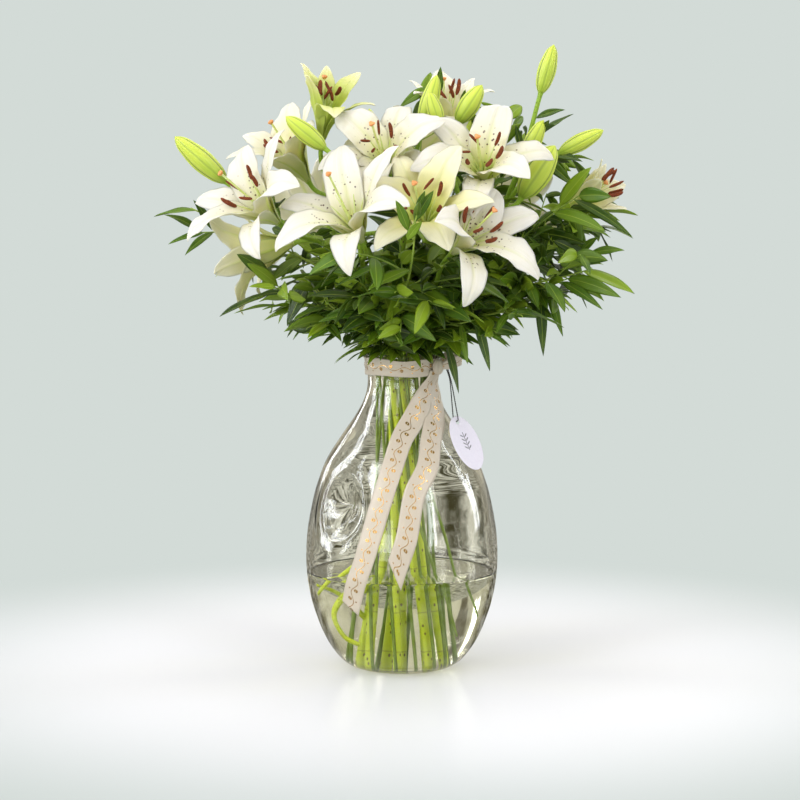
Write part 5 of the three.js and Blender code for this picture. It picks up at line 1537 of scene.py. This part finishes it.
def lamp(name, place, aim, width, power, tall):
    """A soft oblong lamp that shines from its place at a point of the axis."""
    data = bpy.data.lights.new(name, "AREA")
    data.shape, data.size, data.size_y, data.energy = "RECTANGLE", width, tall, power
    data.color = (1.0, 0.985, 0.965)
    made = bpy.data.objects.new(name, data)
    made.location = place
    made.rotation_euler = (Vector((0, 0, aim)) - Vector(place)).to_track_quat("-Z", "Y").to_euler()
    bpy.context.scene.collection.objects.link(made)


def surroundings(backdrop):
    """The room's light: plain behind the object and even on dull surfaces; what the glass and the gloss
    show of it is pale walls, dark at both sides, with tall bright windows."""
    world = bpy.data.worlds.new("room")
    world.use_nodes = True
    p = Paint.of_tree(world.node_tree)
    ways = p.node("TexCoord", output="Generated")
    x, y, z = p.split(ways)
    uneven = p.noise(ways, 5.0, 3.0) - 0.5
    turn = y.math("ARCTAN2", x) * (180 / math.pi) + uneven * 14.0
    streaks = p.noise(p.joined(turn * 0.05, z * 0.8), 1.0, 3.0)
    sides = p.step(x.math("ABSOLUTE") + uneven * 0.7, 0.6, 0.85)
    dark = sides.math("MAXIMUM", p.step(streaks, 0.53, 0.6) * 0.8)
    walls = p.mix(dark, rgb("DAD7C6"), rgb("3E3219"))
    panes = []
    for middle, half in WINDOWS:
        off = (turn - middle).math("ABSOLUTE")
        panes.append(p.step(off, half + 1.0, half - 2.0) * p.step(off, 0.3, 1.2))
    bar = p.step((z - 0.36).math("ABSOLUTE"), 0.01, 0.02)
    windows = sum(panes) * p.step(z, 0.02, 0.06) * p.step(z, 0.72, 0.66) * bar
    room = p.mix(windows, walls, (8.0, 8.3, 8.8, 1.0))
    dull = p.step(p.node("LightPath", output="Diffuse Depth"), 0.4, 0.6)
    seen = p.node("LightPath", output="Is Camera Ray")
    light = p.mix(seen, p.mix(dull, room, rgb("DEDEDD")), backdrop)
    p.end(p.node("Background", None, {"Color": light, "Strength": 1.0}), "World")
    return world


def floor_paint(backdrop):
    """A pale floor, plain near the object, that fades into the backdrop further out; the glass shows it with
    darker patches."""
    p = Paint("floor")
    apart = p.node("VectorMath", {"operation": "LENGTH"}, {0: p.place()}, output="Value")
    near = p.node("BsdfPrincipled", None, {"Base Color": rgb("E0E0E4"), "Roughness": 0.36})
    seen = p.node("LightPath", output="Is Camera Ray")
    far = seen * p.step(apart, 0.26, 0.72) + (1 - seen) * p.step(apart, 0.04, 0.1)
    patches = p.noise(p.place(), 15.0, 5.0)
    room = p.mix(p.step(patches, 0.36, 0.66), rgb("3F3D28"), rgb("E6E6DC"))
    dull = p.step(p.node("LightPath", output="Diffuse Depth"), 0.4, 0.6)
    room = p.mix(seen.math("MAXIMUM", dull), room, backdrop)
    glow = p.node("Emission", None, {"Color": room, "Strength": 1.0})
    p.end(p.node("MixShader", None, {0: far, 1: near, 2: glow}))
    return p.material


def studio():
    """A round floor, in rings about its middle, the room round it, and soft lamps."""
    backdrop = rgb("D3DBD7")
    turn = np.linspace(0, 360, 97)[:-1]
    rings = np.array([0.4, 1.0, 3.0, 12.0])[:, None]
    points = np.vstack([np.zeros((1, 3)), polar(turn, rings, 0.0).reshape(-1, 3)])
    near = 1 + np.arange(rings.size * turn.size).reshape(rings.size, turn.size)
    beside = np.roll(near, -1, axis=1)
    middle = np.stack([np.zeros_like(near[0]), near[0], beside[0]], axis=1)
    others = np.stack([near[:-1], near[1:], beside[1:], beside[:-1]], axis=-1).reshape(-1, 4)
    mesh = bpy.data.meshes.new("floor")
    mesh.from_pydata(points.tolist(), [], middle.tolist() + others.tolist())
    mesh.materials.append(floor_paint(backdrop))
    floor = bpy.data.objects.new("floor", mesh)
    bpy.context.scene.collection.objects.link(floor)
    for name, (place, aim, width, power, tall) in LAMPS.items():
        lamp(name, place, aim, width, power, tall)
    bpy.context.scene.world = surroundings(backdrop)
    bpy.context.scene.view_settings.view_transform = "Standard"


def obstacles(objects):
    """One search tree, in metres, over the faces of these objects."""
    points, faces, start = [], [], 0
    for o in objects:
        co = np.empty(len(o.data.vertices) * 3, np.float32)
        o.data.vertices.foreach_get("co", co)
        points.append(co.reshape(-1, 3))
        faces += [[start + v for v in face.vertices] for face in o.data.polygons]
        start += len(o.data.vertices)
    return BVHTree.FromPolygons(np.concatenate(points).tolist(), faces)


camera()
string()
cloth = ribbon()
tag()
glass = vase()
water()
for number, (stem, azimuth, out, fork) in enumerate(STEMS):
    lily_stem(number, stem, azimuth, out, fork)
petals = [bloom(flower) for flower in BLOOMS]
for flower in BLOOMS:
    stamens(flower)
tree = obstacles([*petals, cloth, glass])
box = [np.array(corner) / MM for corner in CAD_BOX]
for number, (name, azimuth, reach, height, steep) in enumerate(SPRAYS):
    spray(number, name, azimuth, reach, height, steep, tree, box)
studio()
